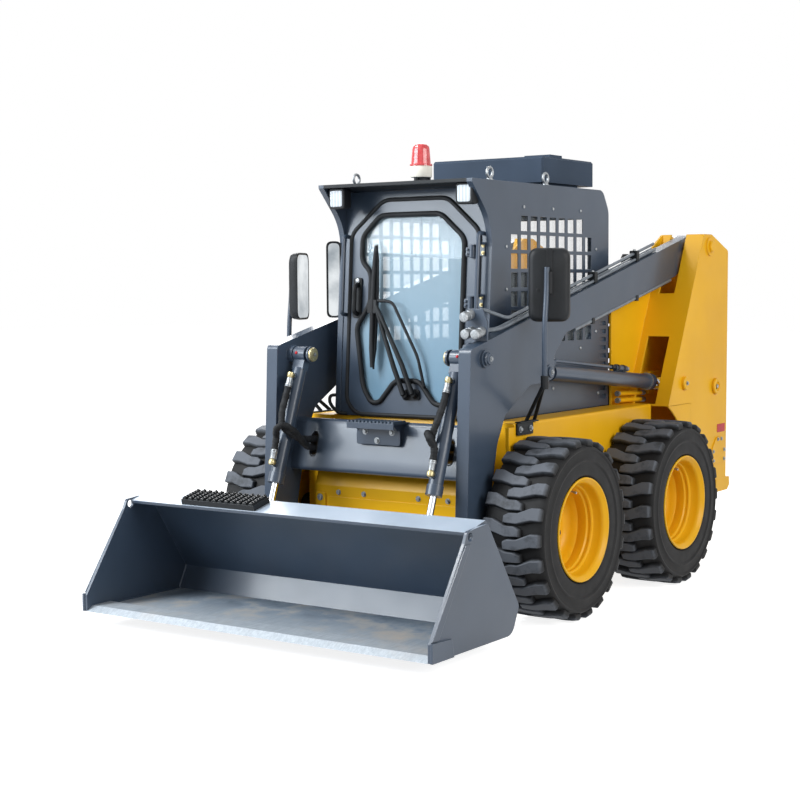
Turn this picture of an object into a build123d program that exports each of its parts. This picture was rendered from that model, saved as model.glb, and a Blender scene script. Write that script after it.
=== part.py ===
# Skid steer loader with a dirt bucket, built as separate named sub-components in one shared frame.
# Millimetres. X is across (machine's left is +X), Y runs rearward, Z is up.
# Stations along Y are measured from the front axle; place() puts the origin under the middle.
import os
from math import atan2, cos, degrees, hypot, pi, radians, sin, tan

from build123d import *

# Across the machine, from the cab outward
CAB_HALF_W = 438
CAB_GAP = 12
CASE_W = 140
RAIL_LEDGE = 10
WHEEL_GAP = 10
TYRE_W = 300
CASE_IN_X = CAB_HALF_W + CAB_GAP
CASE_OUT_X = CASE_IN_X + CASE_W
RAIL_OUT_X = CASE_OUT_X + RAIL_LEDGE
TRACK = 2 * (RAIL_OUT_X + WHEEL_GAP) + TYRE_W

# Wheels
TYRE_D = 830
TREAD_BASE_R = 387
TYRE_SIDES = 36
TREAD_MIDDLE = 6
WHEELBASE = 1068
RIM_FLANGE_R = 227
RIM_BARREL_R = 212
RIM_W = 268
DISC_OFFSET = -62
SHAFT_R = 30
RUN_FIT = 0.08

# Chassis
BELLY_Z = 225
RAIL_Z = 890
CHASSIS_FRONT_Y = -100
CHEEK_FRONT_Y = -150
CHEEK_IN_X = RAIL_OUT_X - 17
CASE_REAR_Y = 1300
BUMPER_Y = 2113
BUMPER_Z = 428

# Towers that carry the boom
TOWER_OUT_X = CASE_IN_X + 245
TOWER_PLATE = 12
TOWER_REAR_Y = 2062
TOWER_FOOT = (1312, 878)
TOWER_BROW = (1745, 1790)
ARCH_R = 505
ARM_SLOT_X = (CASE_IN_X + 50, CASE_IN_X + 142)
PIVOT = (1825, 1724)
PIVOT_R = 28

# Cab
CAB_WALL = 30
CAB_REAR_Y = 1125
CAB_TOP_Z = 2004
SILL_Z = 892
LEAN = 4.0
VISOR_Y = -196
MESH_COLUMNS = 9
MESH_ROWS = 7

# Door in its own leaning plane
DOOR_HALF_W = CAB_HALF_W - 76
DOOR_LOW = 14
DOOR_TOP = 1036
DOOR_T = 34
DOOR_GAP = 6

# Hinge pins of both doors
HINGE_PIN_R = 6
CAB_HINGE = (DOOR_HALF_W - 22, -14)
CAB_HINGE_Z = (330, 545, 785)
REAR_HINGE = (-CASE_IN_X + 36, TOWER_REAR_Y + 8)
REAR_HINGE_Z = (600, 1120)

# Boom
ARM_IN_X = CASE_IN_X + 64
ARM_W = 63
TILT_X = CASE_IN_X - 2
HOSE_SLOT_X = TILT_X - 58
HOSE_R = 15
TILT_TOP = (-320, 1195)
TILT_EYE = (-610, 400)
PIPE_R = 8
PIPE_FLATS = 10
PIPE_END_Y = 1440
BUCKET_HINGE = (-460, 240)
HINGE_R = 22
LIFT_X = ARM_IN_X + 31
LIFT_FRONT = (250, 1108)
LIFT_REAR = (1505, 991)

# Bucket
BUCKET_W = 1880
BUCKET_EDGE_Y = -1300
BUCKET_FLOOR_Z = 66
BACK_FOOT = (-631, 180)
BACK_TOP = (-877, 560)
SHEET = 10
TREAD_X = (-613, -187)
TREAD_RIDGES = 12

AXLE_Z = TYRE_D / 2

# Cylinders, closed lengths from pin to pin
TILT_R = 33
PORT_OUT = 56
UPPER_PORT = 120
LOWER_PORT = 548
TILT_BARREL_L = hypot(TILT_TOP[0] - TILT_EYE[0], TILT_TOP[1] - TILT_EYE[1]) - 210
TILT_ROD_L = TILT_BARREL_L - 6
LIFT_BARREL_L = hypot(LIFT_FRONT[0] - LIFT_REAR[0], LIFT_FRONT[1] - LIFT_REAR[1]) - 110
LIFT_ROD_L = LIFT_BARREL_L - 110

MID_STATION = (BUCKET_EDGE_Y + BUMPER_Y) / 2


# Drawing helpers

def outline(points, radii=0):
    if isinstance(radii, (int, float)):
        radii = [radii] * len(points)
    return make_face(FilletPolyline(*points, radius=radii, close=True).edges())


def side_plate(points, x0, x1, radii=0):
    """Outline drawn in (Y, Z), as thick as x0 to x1."""
    return extrude(Plane.YZ.offset(x0) * outline(points, radii), amount=x1 - x0)


def cross_plate(points, y0, y1, radii=0):
    """Outline drawn in (X, Z), from station y0 back to y1."""
    return extrude(Plane.XZ.offset(-y1) * outline(points, radii), amount=y1 - y0)


def block(x0, x1, y0, y1, z0, z1):
    return Pos((x0 + x1) / 2, (y0 + y1) / 2, (z0 + z1) / 2) * Box(x1 - x0, y1 - y0, z1 - z0)


def rod_x(radius, x0, x1, y, z):
    return Pos((x0 + x1) / 2, y, z) * Rot(0, 90, 0) * Cylinder(radius, x1 - x0)


def rod_between(a, b, radius):
    """Round bar from point a to point b."""
    line = Line(a, b)
    return sweep(Plane(origin=line @ 0, z_dir=line % 0) * Circle(radius), path=line)


def pipe(points, radius, bend):
    """Bar or hose along a path with rounded corners, drawn with a few flats to stay light."""
    path = FilletPolyline(*points, radius=bend)
    return sweep(Plane(origin=path @ 0, z_dir=path % 0) * RegularPolygon(radius, PIPE_FLATS), path=path)


def ribbon(points, thickness):
    """Folded sheet: the points and their copy moved by the thickness to the left of the path."""
    normals = []
    for (ay, az), (by, bz) in zip(points, points[1:]):
        length = hypot(by - ay, bz - az)
        normals.append((-(bz - az) / length, (by - ay) / length))
    moved = []
    for i, (y, z) in enumerate(points):
        a = normals[max(i - 1, 0)]
        b = normals[min(i, len(normals) - 1)]
        scale = thickness / (1 + a[0] * b[0] + a[1] * b[1])
        moved.append((y + scale * (a[0] + b[0]), z + scale * (a[1] + b[1])))
    return list(points) + moved[::-1]


def mirrored(shape):
    return mirror(shape, about=Plane.YZ)


def both(shape):
    return Compound(children=[shape, mirrored(shape)])


def along(a, b, distance, offset=0.0):
    """Point at a distance from a toward b, moved sideways to the left of that line."""
    length = hypot(b[0] - a[0], b[1] - a[1])
    u = ((b[0] - a[0]) / length, (b[1] - a[1]) / length)
    return (a[0] + u[0] * distance - u[1] * offset, a[1] + u[1] * distance + u[0] * offset)


def leaning(shape):
    """Turns a piece drawn upright at Y 0, Z 0 into the cab's leaning front plane."""
    return Pos(0, front_y(SILL_Z), SILL_Z) * Rot(-LEAN, 0, 0) * shape


def front_y(z):
    """Station of the cab's leaning front at a height."""
    return -12 - (1928 - z) * tan(radians(LEAN))


# Wheels

def ring_point(x, r, k, turn=0.0):
    angle = 2 * pi * (k + 0.5) / TYRE_SIDES + turn
    reach = r / cos(pi / TYRE_SIDES)
    return (x, reach * sin(angle), reach * cos(angle))


def facet(*corners):
    return Face(Wire.make_polygon(corners))


def faceted(profile):
    """Solid of flat facets; the profile (x, radius) closes on itself, or starts and ends on the axis."""
    loop = profile[0][1] > 0
    faces = []
    for i, (x0, r0) in enumerate(profile):
        if i + 1 == len(profile) and not loop:
            break
        x1, r1 = profile[(i + 1) % len(profile)]
        if r0 == 0 or r1 == 0:
            faces.append(facet(*[ring_point(x0, max(r0, r1), k) for k in range(TYRE_SIDES)]))
            continue
        for k in range(TYRE_SIDES):
            faces.append(facet(ring_point(x0, r0, k), ring_point(x0, r0, k + 1),
                               ring_point(x1, r1, k + 1), ring_point(x1, r1, k)))
    solid = Solid(Shell(faces))
    return solid if solid.volume > 0 else -solid


def tyre():
    """Ring of flat facets with raised tread bars; left and right bars alternate and lean to the middle."""
    half = TYRE_W / 2
    lean = -pi / TYRE_SIDES
    tip_r = TYRE_D / 2
    bead = half - 30
    wall = [(bead, RIM_BARREL_R, 0), (bead, RIM_FLANGE_R + 1, 0), (half - 4, 300, 0), (half, 335, 0)]
    bar = [(half - 2, 392, 0), (half - 14, tip_r, 0), (TREAD_MIDDLE, tip_r * cos(pi / TYRE_SIDES), lean)]
    gap = [(half - 12, 372, 0), (half - 26, TREAD_BASE_R - 3, 0), (TREAD_MIDDLE, TREAD_BASE_R, lean)]
    faces = []
    for k in range(TYRE_SIDES):
        for side in (1, -1):
            def corner(station, index):
                x, r, turn = station
                return ring_point(side * x, r, index, turn)

            raised = (k % 2 == 0) == (side > 0)
            stations = wall + (bar if raised else gap)
            for a, b in zip(stations, stations[1:]):
                if a[2] == b[2]:
                    faces.append(facet(corner(a, k), corner(a, k + 1), corner(b, k + 1), corner(b, k)))
                else:
                    faces.append(facet(corner(a, k), corner(a, k + 1), corner(b, k + 1)))
                    faces.append(facet(corner(a, k), corner(b, k + 1), corner(b, k)))
            faces.append(facet(corner(wall[-1], k), corner(bar[0], k), corner(gap[0], k)))
            faces.append(facet(corner(bar[0], k), corner(bar[1], k), corner(gap[1], k), corner(gap[0], k)))
            faces.append(facet(corner(bar[1], k), corner(bar[2], k), corner(gap[1], k)))
            faces.append(facet(corner(bar[2], k), corner(gap[2], k), corner(gap[1], k)))
            if raised:
                faces.append(facet(corner(bar[2], k), corner(bar[2], k + 1),
                                   corner(gap[2], k + 1), corner(gap[2], k)))
        for x, r, turn in (wall[0], gap[2]):
            faces.append(facet(ring_point(x, r, k, turn), ring_point(x, r, k + 1, turn),
                               ring_point(-x, r, k + 1, turn), ring_point(-x, r, k, turn)))
    solid = Solid(Shell(faces))
    return solid if solid.volume > 0 else -solid


def rim():
    half = RIM_W / 2
    barrel = [
        (DISC_OFFSET - 6, 0),
        (DISC_OFFSET - 6, 196),
        (-half, 205),
        (-half, RIM_FLANGE_R - 5),
        (-half + 12, RIM_FLANGE_R - 5),
        (-half + 12, RIM_BARREL_R),
        (half - 12, RIM_BARREL_R),
        (half - 12, RIM_FLANGE_R - 5),
        (half, RIM_FLANGE_R - 5),
        (half, 205),
        (half - 40, 196),
        (DISC_OFFSET + 24, 186),
        (DISC_OFFSET + 6, 150),
        (DISC_OFFSET + 6, 0),
    ]
    hub = Pos(DISC_OFFSET + 3, 0, 0) * Rot(0, 90, 0) * Cylinder(70, 26)
    shaft = Pos(DISC_OFFSET - 50, 0, 0) * Rot(0, 90, 0) * Cylinder(SHAFT_R, 100)
    nuts = []
    for k in range(8):
        at = Rot(45 * k + 22.5, 0, 0) * Pos(DISC_OFFSET + 5, 0, 105) * Rot(0, 90, 0)
        nuts.append(at * extrude(RegularPolygon(14, 6), amount=14))
    return faceted(barrel) + hub + shaft + nuts


def rim_at(x, y):
    turn = Rot(0, 0, 0) if x > 0 else Rot(0, 0, 180)
    return Pos(x, y, AXLE_Z) * turn * rim()


# Chassis

def chassis_side():
    section = [
        (CASE_IN_X, BELLY_Z),
        (CASE_OUT_X, BELLY_Z),
        (CASE_OUT_X, 640),
        (RAIL_OUT_X, 660),
        (RAIL_OUT_X, RAIL_Z),
        (CASE_IN_X, RAIL_Z),
    ]
    cheek = block(CHEEK_IN_X, RAIL_OUT_X, CHEEK_FRONT_Y, CHASSIS_FRONT_Y + 5, 670, RAIL_Z - 16)
    return cross_plate(section, CHASSIS_FRONT_Y, CASE_REAR_Y, [0, 12, 0, 0, 14, 0]) + cheek


def axle_housing(y):
    inner = TRACK / 2 + DISC_OFFSET - 18
    tube = rod_x(62, CASE_OUT_X, inner, y, AXLE_Z)
    flange = rod_x(95, CASE_OUT_X, CASE_OUT_X + 16, y, AXLE_Z)
    bore = rod_x(SHAFT_R + RUN_FIT, CASE_OUT_X + 2, inner, y, AXLE_Z)
    return tube + flange - bore


def axle_housings():
    front = axle_housing(0)
    rear = axle_housing(WHEELBASE)
    return Compound(children=[front, rear, mirrored(front), mirrored(rear)])


def belly_pan():
    path = [
        (2040, BELLY_Z),
        (-170, BELLY_Z),
        (-232, 385),
        (-232, 560),
        (-195, 660),
        (-110, 760),
        (front_y(SILL_Z) + 16, SILL_Z - 3),
    ]
    return side_plate(ribbon(path[::-1], SHEET), -CASE_IN_X, CASE_IN_X)


def tower():
    foot_y, foot_z = TOWER_FOOT
    brow_y, brow_z = TOWER_BROW
    inner = side_plate(
        [
            (CAB_REAR_Y + 10, BELLY_Z + SHEET),
            (TOWER_REAR_Y, BELLY_Z + SHEET),
            (TOWER_REAR_Y, 1704),
            (1848, brow_z),
            (brow_y, brow_z),
            (CAB_REAR_Y + 10, 1440),
        ],
        CASE_IN_X - TOWER_PLATE,
        CASE_IN_X,
        [0, 0, 20, 40, 20, 60],
    )
    outer = side_plate(
        [
            (foot_y, foot_z),
            (1590, foot_z),
            (1590, BUMPER_Z),
            (TOWER_REAR_Y, BUMPER_Z),
            (TOWER_REAR_Y + 10, 1704),
            (1848, brow_z),
            (brow_y, brow_z),
        ],
        TOWER_OUT_X - TOWER_PLATE,
        TOWER_OUT_X,
        [0, 0, 0, 0, 20, 40, 20],
    )
    arch = rod_x(ARCH_R, TOWER_OUT_X - 60, TOWER_OUT_X + 10, WHEELBASE, AXLE_Z)
    outer = outer - arch
    front = side_plate(
        [TOWER_FOOT, TOWER_BROW, (brow_y + 14, brow_z), (foot_y + 14, foot_z)],
        CASE_IN_X,
        TOWER_OUT_X - TOWER_PLATE,
    )
    arm_slot = block(ARM_SLOT_X[0], ARM_SLOT_X[1], foot_y, brow_y + 50, 1470, brow_z + 10)
    lift_slot = block(ARM_SLOT_X[0] - 10, ARM_SLOT_X[1] + 24, foot_y - 5, brow_y, foot_z + 10, 1240)
    front = front - arm_slot - lift_slot
    rear = block(CASE_IN_X, TOWER_OUT_X - TOWER_PLATE, TOWER_REAR_Y - 12, TOWER_REAR_Y, BUMPER_Z, 1690)
    pin = rod_x(PIVOT_R, CASE_IN_X, TOWER_OUT_X + 14, *PIVOT)
    cap = rod_x(52, TOWER_OUT_X, TOWER_OUT_X + 8, *PIVOT)
    stub_in = rod_x(24, CASE_IN_X, LIFT_X - 30, *LIFT_REAR)
    stub_out = rod_x(24, LIFT_X + 30, TOWER_OUT_X + 14, *LIFT_REAR)
    rear_boss = rod_x(40, TOWER_OUT_X, TOWER_OUT_X + 12, 1905, 953)
    ear_in = block(CASE_IN_X, LIFT_X - 32, 1455, 1600, 930, 1050)
    return inner + outer + front + rear + pin + cap + stub_in + stub_out + rear_boss + ear_in


def rear_bumper():
    half = TOWER_OUT_X
    bar = side_plate(
        [(1934, 356), (BUMPER_Y - 30, 356), (BUMPER_Y, 380), (BUMPER_Y, BUMPER_Z), (1934, BUMPER_Z)],
        -half,
        half,
    )
    pan_bolster = block(-CASE_IN_X + TOWER_PLATE, CASE_IN_X - TOWER_PLATE, 1934, 2080, BELLY_Z + SHEET, 356)
    tail_gap = block(-CASE_IN_X, CASE_IN_X, 1900, TOWER_REAR_Y, 356, BUMPER_Z + 1)
    bar = bar - tail_gap
    return bar + pan_bolster


def engine_block():
    return block(-300, 300, 1240, 1900, BELLY_Z + SHEET, 1000)


def engine_hood():
    half = CASE_IN_X - TOWER_PLATE
    top = side_plate(
        ribbon([(CAB_REAR_Y + 12, 1400), (1600, 1400), (2000, 1330), (2040, 1290)], 12),
        -half,
        half,
    )
    slots = []
    for k in range(7):
        y = 1220 + 48 * k
        slots.append(block(-half + 150, half - 150, y, y + 24, 1390, 1420))
    return top - slots


def exhaust_stack():
    x = CASE_IN_X - 91
    stack = Pos(x, 1480, 1412 + 125) * Cylinder(27, 250)
    dome = Pos(x, 1480, 1665) * Cone(36, 20, 36)
    return stack + dome


def rear_door():
    half = CASE_IN_X - TOWER_PLATE - 8
    skin = block(-half, half, 2044, 2060, 440, 1275)
    for k in range(9):
        z = 640 + 60 * k
        skin = skin - block(-half + 110, half - 110, 2040, 2070, z, z + 26)
    handle = block(half - 80, half - 50, 2060, 2082, 823, 957)
    for z in REAR_HINGE_Z:
        knuckle = Pos(REAR_HINGE[0], REAR_HINGE[1], z) * Cylinder(13, 90)
        hole = Pos(REAR_HINGE[0], REAR_HINGE[1], z) * Cylinder(HINGE_PIN_R + RUN_FIT, 90)
        skin = skin + (knuckle - hole)
    return skin + handle


# Cab

def side_outline():
    foot = front_y(SILL_Z)
    return [
        (foot, SILL_Z),
        (CAB_REAR_Y, SILL_Z),
        (CAB_REAR_Y, 1900),
        (1060, CAB_TOP_Z),
        (VISOR_Y, CAB_TOP_Z),
        (VISOR_Y, CAB_TOP_Z - 16),
        (front_y(1800), 1800),
    ]


def mesh_holes():
    y0, y1, z0, z1 = 130, 950, 1232, 1856
    pitch_y = (y1 - y0) / MESH_COLUMNS
    pitch_z = (z1 - z0) / MESH_ROWS
    holes = []
    for i in range(MESH_COLUMNS):
        for j in range(MESH_ROWS):
            y = y0 + pitch_y * (i + 0.5)
            z = z0 + pitch_z * (j + 0.5)
            if j == MESH_ROWS - 1 and i in (0, MESH_COLUMNS - 1):
                continue
            holes.append(block(CAB_HALF_W - 8, CAB_HALF_W + 5, y - pitch_y * 0.36, y + pitch_y * 0.36,
                               z - pitch_z * 0.4, z + pitch_z * 0.4))
    return holes


def cab_side():
    wall = side_plate(side_outline(), CAB_HALF_W - CAB_WALL, CAB_HALF_W, [20, 0, 90, 60, 0, 0, 240])
    window = side_plate(
        [(130, 1232), (950, 1232), (950, 1856), (130, 1856)],
        CAB_HALF_W - CAB_WALL - 5,
        CAB_HALF_W - 5,
        60,
    )
    slots = []
    for k in range(10):
        z = 930 + 42 * k
        slots.append(block(CAB_HALF_W - 10, CAB_HALF_W + 5, 1030, 1098, z, z + 22))
    return wall - window - mesh_holes() - slots


def cab_windows():
    side = side_plate(
        [(130, 1232), (950, 1232), (950, 1856), (130, 1856)],
        CAB_HALF_W - CAB_WALL + 4,
        CAB_HALF_W - CAB_WALL + 9,
        60,
    )
    inner = CAB_HALF_W - CAB_WALL
    rear = block(-inner + 70, inner - 70, CAB_REAR_Y - 14, CAB_REAR_Y - 8, 1420, 1860)
    return Compound(children=[side, mirrored(side), rear])


def cab_roof():
    inner = CAB_HALF_W - CAB_WALL
    sheet = [
        (VISOR_Y, CAB_TOP_Z - 16),
        (VISOR_Y, CAB_TOP_Z),
        (1052, CAB_TOP_Z),
        (1052, CAB_TOP_Z - 22),
        (front_y(1950) + 60, CAB_TOP_Z - 22),
        (front_y(1950) - 20, CAB_TOP_Z - 22),
    ]
    return side_plate(sheet, -inner, inner)


def cab_rear_wall():
    inner = CAB_HALF_W - CAB_WALL
    wall = block(-inner, inner, CAB_REAR_Y - 26, CAB_REAR_Y - 4, SILL_Z, 1890)
    window = block(-inner + 70, inner - 70, CAB_REAR_Y - 40, CAB_REAR_Y + 10, 1420, 1860)
    brow = side_plate(
        ribbon([(CAB_REAR_Y - 4, 1890), (CAB_REAR_Y - 60, CAB_TOP_Z - 22), (1052, CAB_TOP_Z - 22)], 14),
        -inner,
        inner,
    )
    return wall - window + brow


def door_outline(grow):
    half = DOOR_HALF_W + grow
    low = DOOR_LOW - grow
    top = DOOR_TOP + grow
    return [
        (-half + 60, low),
        (half - 60, low),
        (half, low + 60),
        (half, top - 160),
        (half - 185, top),
        (-half + 185, top),
        (-half, top - 160),
        (-half, low + 60),
    ]


def cab_front_frame():
    inner = CAB_HALF_W - CAB_WALL
    frame = cross_plate([(-inner, 0), (inner, 0), (inner, 1086), (-inner, 1086)], 4, 40)
    opening = cross_plate(door_outline(DOOR_GAP), -10, 60, 24)
    return leaning(frame - opening)


def glass_outline():
    w = DOOR_HALF_W
    return [
        (92 - w, 140),
        (142 - w, 66),
        (192 - w, 66),
        (-80, 176),
        (60, 176),
        (w - 212, 66),
        (w - 132, 66),
        (w - 72, 140),
        (w - 72, 850),
        (w - 212, 970),
        (166 - w, 970),
        (62 - w, 868),
        (62 - w, 750),
        (120 - w, 694),
        (120 - w, 542),
        (42 - w, 432),
    ]


def door_frame():
    plate = cross_plate(door_outline(0), 0, DOOR_T, 22)
    window = cross_plate(glass_outline(), -10, DOOR_T + 10, 18)
    return leaning(plate - window)


def door_glass():
    return leaning(cross_plate(glass_outline(), 10, 16, 18))


def door_fittings():
    grip_x = 44 - DOOR_HALF_W
    grip = Pos(grip_x, -26, 570) * Box(22, 20, 170)
    feet = [Pos(grip_x, -8, 570 + s * 70) * Box(22, 16, 20) for s in (-1, 1)]
    motor = Pos(0, -22, 108) * Box(120, 44, 60)
    arm_a = Pos(-110, -34, 330) * Rot(0, -24.7, 0) * Box(14, 10, 500)
    blade = Pos(-222, -24, 530) * Box(22, 26, 590)
    handle = grip + feet
    wiper = motor + arm_a + blade
    hinge_set = []
    for z in CAB_HINGE_Z:
        leaf = Pos(CAB_HINGE[0] - 23, -4, z) * Box(46, 8, 44)
        knuckle = Pos(*CAB_HINGE, z) * Cylinder(13, 60)
        hole = Pos(*CAB_HINGE, z) * Cylinder(HINGE_PIN_R + RUN_FIT, 60)
        hinge_set.append(leaf + knuckle - hole)
    return leaning(Compound(children=[handle, wiper] + hinge_set))


def hinge_pins():
    """Pins and brackets that carry the cab door on its frame and the rear door on the tower."""
    pins = []
    for z in CAB_HINGE_Z:
        top = z + 30
        arm = block(CAB_HINGE[0] - 8, CAB_HALF_W - 36, -24, -5, top + 1, top + 13)
        foot = block(CAB_HALF_W - 64, CAB_HALF_W - 36, -5, 4, top - 50, top + 13)
        pin = Pos(*CAB_HINGE, z + 5) * Cylinder(HINGE_PIN_R, 60)
        pins.append(leaning(arm + foot + pin))
    x, y = REAR_HINGE
    for z in REAR_HINGE_Z:
        top = z + 45
        arm = block(-CASE_IN_X, x + 7, y - 4, y + 8, top + 1, top + 13)
        arm = arm + block(-CASE_IN_X, -CASE_IN_X + TOWER_PLATE, TOWER_REAR_Y, y, top + 1, top + 13)
        pin = Pos(x, y, z + 8) * Cylinder(HINGE_PIN_R, 86)
        pins.append(arm + pin)
    return Compound(children=pins)


def grab_rails():
    x = DOOR_HALF_W + 26
    rail = leaning(pipe([(x, 4, 490), (x, -40, 490), (x, -40, 870), (x, 4, 870)], 10, 20))
    return Compound(children=[rail, mirrored(rail)])


def work_lamps():
    inner = CAB_HALF_W - CAB_WALL
    lamp = block(inner - 80, inner, -165, -100, CAB_TOP_Z - 106, CAB_TOP_Z - 22)
    lens = block(inner - 74, inner - 6, -172, -165, CAB_TOP_Z - 100, CAB_TOP_Z - 28)
    return both(lamp + lens)


def roof_unit():
    half = CAB_HALF_W - 108
    base = CAB_TOP_Z + 26
    top = base + 130
    shell = block(-half, half, 629, 1160, base, top)
    shell = chamfer(shell.edges().filter_by(Axis.Z) + shell.faces().sort_by(Axis.Z)[-1].edges(), 10)
    plinth = block(-half + 30, half - 30, 660, 1040, CAB_TOP_Z, base)
    vent = block(half - 160, half - 10, 720, 840, top, top + 12)
    return shell + plinth + vent


def beacon():
    base = Pos(40, -20, CAB_TOP_Z + 22) * Cylinder(52, 44)
    lens = Pos(40, -20, CAB_TOP_Z + 44 + 66) * Cone(50, 38, 132)
    return base + lens


def lifting_eyes():
    x = CAB_HALF_W - 53
    eyes = []
    for y in (40, 560):
        stem = Pos(x, y, CAB_TOP_Z + 6) * Cylinder(20, 12)
        ring = Pos(x, y, CAB_TOP_Z + 38) * Rot(0, 90, 0) * (Cylinder(30, 14) - Cylinder(17, 20))
        eyes.append(stem + ring)
    return Compound(children=eyes + [mirrored(e) for e in eyes])


def cab_floor():
    inner = CAB_HALF_W - CAB_WALL
    floor = block(-inner, inner, -60, 560, 500, 512)
    seat_box = block(-inner, inner, 560, CAB_REAR_Y - 26, 500, 930)
    flange = block(inner - 28, CASE_IN_X, 60, 1000, SILL_Z - 22, SILL_Z)
    return floor + seat_box + flange + mirrored(flange)


def seat():
    half = CAB_HALF_W - CAB_WALL - 163
    cushion = chamfer(block(-half, half, 590, 1010, 930, 1050).edges(), 22)
    back = Pos(0, 960, 1040) * Rot(-6, 0, 0) * Pos(0, 0, 270) * Box(2 * half - 20, 100, 560)
    back = chamfer(back.edges(), 22)
    return cushion + back


def controls():
    inner = CAB_HALF_W - CAB_WALL
    post = block(inner - 108, inner - 8, 560, 900, 930, 1130)
    lever = rod_between((inner - 58, 600, 1130), (inner - 68, 540, 1330), 10)
    knob = Pos(inner - 68, 535, 1345) * Cylinder(22, 70)
    return both(post + lever + knob)


def mirror_head(w, h, t):
    corners = [(-w / 2, -h / 2), (w / 2, -h / 2), (w / 2, h / 2), (-w / 2, h / 2)]
    return cross_plate(corners, -t / 2, t / 2, min(25, w / 3))


def mirrors():
    joint = (RAIL_OUT_X + 138, -65, 1081)
    head_at = Pos(RAIL_OUT_X + 126, 0, 1520)
    legs = [rod_between((RAIL_OUT_X - 4, y, RAIL_Z + 3), joint, 9) for y in (10, 85)]
    mast = rod_between(joint, (RAIL_OUT_X + 130, -66, 1600), 12)
    knuckle = Pos(*joint) * Cylinder(18, 60)
    plate = block(RAIL_OUT_X, RAIL_OUT_X + 12, -90, 50, 835, RAIL_Z)
    flange = block(RAIL_OUT_X - 18, RAIL_OUT_X + 16, -68, 96, RAIL_Z, RAIL_Z + 6)
    clamp = block(RAIL_OUT_X + 116, RAIL_OUT_X + 142, -72, 0, 1490, 1530)
    stay = plate + flange + legs + mast + knuckle + clamp
    head = mirror_head(190, 335, 50)
    left = stay + head_at * Rot(0, 0, 30) * head
    right = mirrored(stay) + mirror(head_at * Rot(0, 0, 70) * head, about=Plane.YZ)
    cab_x = -CAB_HALF_W - 34
    cab = Pos(cab_x, -40, 1552) * Rot(0, 0, 30) * mirror_head(60, 376, 24)
    arms = [block(cab_x + 10, -CAB_HALF_W, -34, -18, z - 8, z + 8) for z in (1400, 1704)]
    cab = cab + arms
    return Compound(children=[left, right, cab])


# Boom

def arm_outline():
    leg_front = -430
    return [
        (leg_front - 40, BUCKET_HINGE[1] - 55),
        (leg_front + 20, BUCKET_HINGE[1] - 55),
        (-300, 420),
        (-283, 506),
        (-214, 802),
        (-143, 932),
        (80, 1056),
        (250, 1060),
        (310, 1110),
        (310, 1190),
        (423, 1290),
        (1636, 1562),
        (1860, 1662),
        (1886, 1740),
        (1800, 1788),
        (1759, 1772),
        (-355, 1257),
        (leg_front, 1238),
        (leg_front - 36, 490),
        (leg_front - 66, 330),
    ]


def arm_top_z(y):
    """Height of the arm's top edge at a station."""
    return 1257 + (y + 355) * (1772 - 1257) / (1759 + 355)


def boom_arm():
    x0, x1 = ARM_IN_X, ARM_IN_X + ARM_W
    radii = [40, 40, 80, 30, 80, 60, 60, 30, 30, 40, 60, 40, 55, 55, 25, 0, 30, 20, 0, 20]
    arm = side_plate(arm_outline(), x0, x1, radii)
    arm = arm - rod_x(PIVOT_R + RUN_FIT, x0 - 5, x1 + 5, *PIVOT)
    arm = arm - rod_x(HINGE_R + RUN_FIT, x0 - 5, x1 + 5, *BUCKET_HINGE)
    end = rod_x(62, x0, x1, *PIVOT) - rod_x(PIVOT_R + RUN_FIT, x0 - 5, x1 + 5, *PIVOT)
    arm = arm + end
    mouth = (LIFT_FRONT[0] - 70, LIFT_FRONT[0] + 120)
    arm = arm - block(LIFT_X - 24, LIFT_X + 24, mouth[0], mouth[1], 1030, 1176)
    tilt_pin = rod_x(24, TILT_X - 48, x0, *TILT_TOP)
    tilt_cap = rod_x(38, TILT_X - 58, TILT_X - 48, *TILT_TOP)
    tilt_boss = rod_x(44, TILT_X + 36, x0, *TILT_TOP)
    tilt_head = rod_x(40, x1, x1 + 14, *TILT_TOP)
    lift_pin = rod_x(20, LIFT_X - 24, LIFT_X + 24, *LIFT_FRONT)
    lift_head = rod_x(36, x1, x1 + 12, *LIFT_FRONT)
    return arm + tilt_pin + tilt_cap + tilt_boss + tilt_head + lift_pin + lift_head


def boom_crossmember():
    section = [(-345, 640), (-262, 640), (-200, 870), (-285, 876)]
    beam = side_plate(section, -ARM_IN_X, ARM_IN_X, [30, 30, 14, 14])
    for x in (-HOSE_SLOT_X, HOSE_SLOT_X):
        slot = extrude(Plane.XZ * Rot(0, 0, 90) * SlotOverall(114, 40), amount=150, both=True)
        beam = beam - Pos(x, -290, 766) * Rot(15, 0, 0) * slot
    tread = block(-133, 133, -395, -285, 872, 884)
    teeth = []
    for k in range(9):
        x = -126 + 31.5 * k
        teeth.append(block(x - 5, x + 5, -395, -300, 884, 894))
    bracket = block(-110, 110, -330, -318, 700, 872)
    return beam + tread + teeth + bracket


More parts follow.
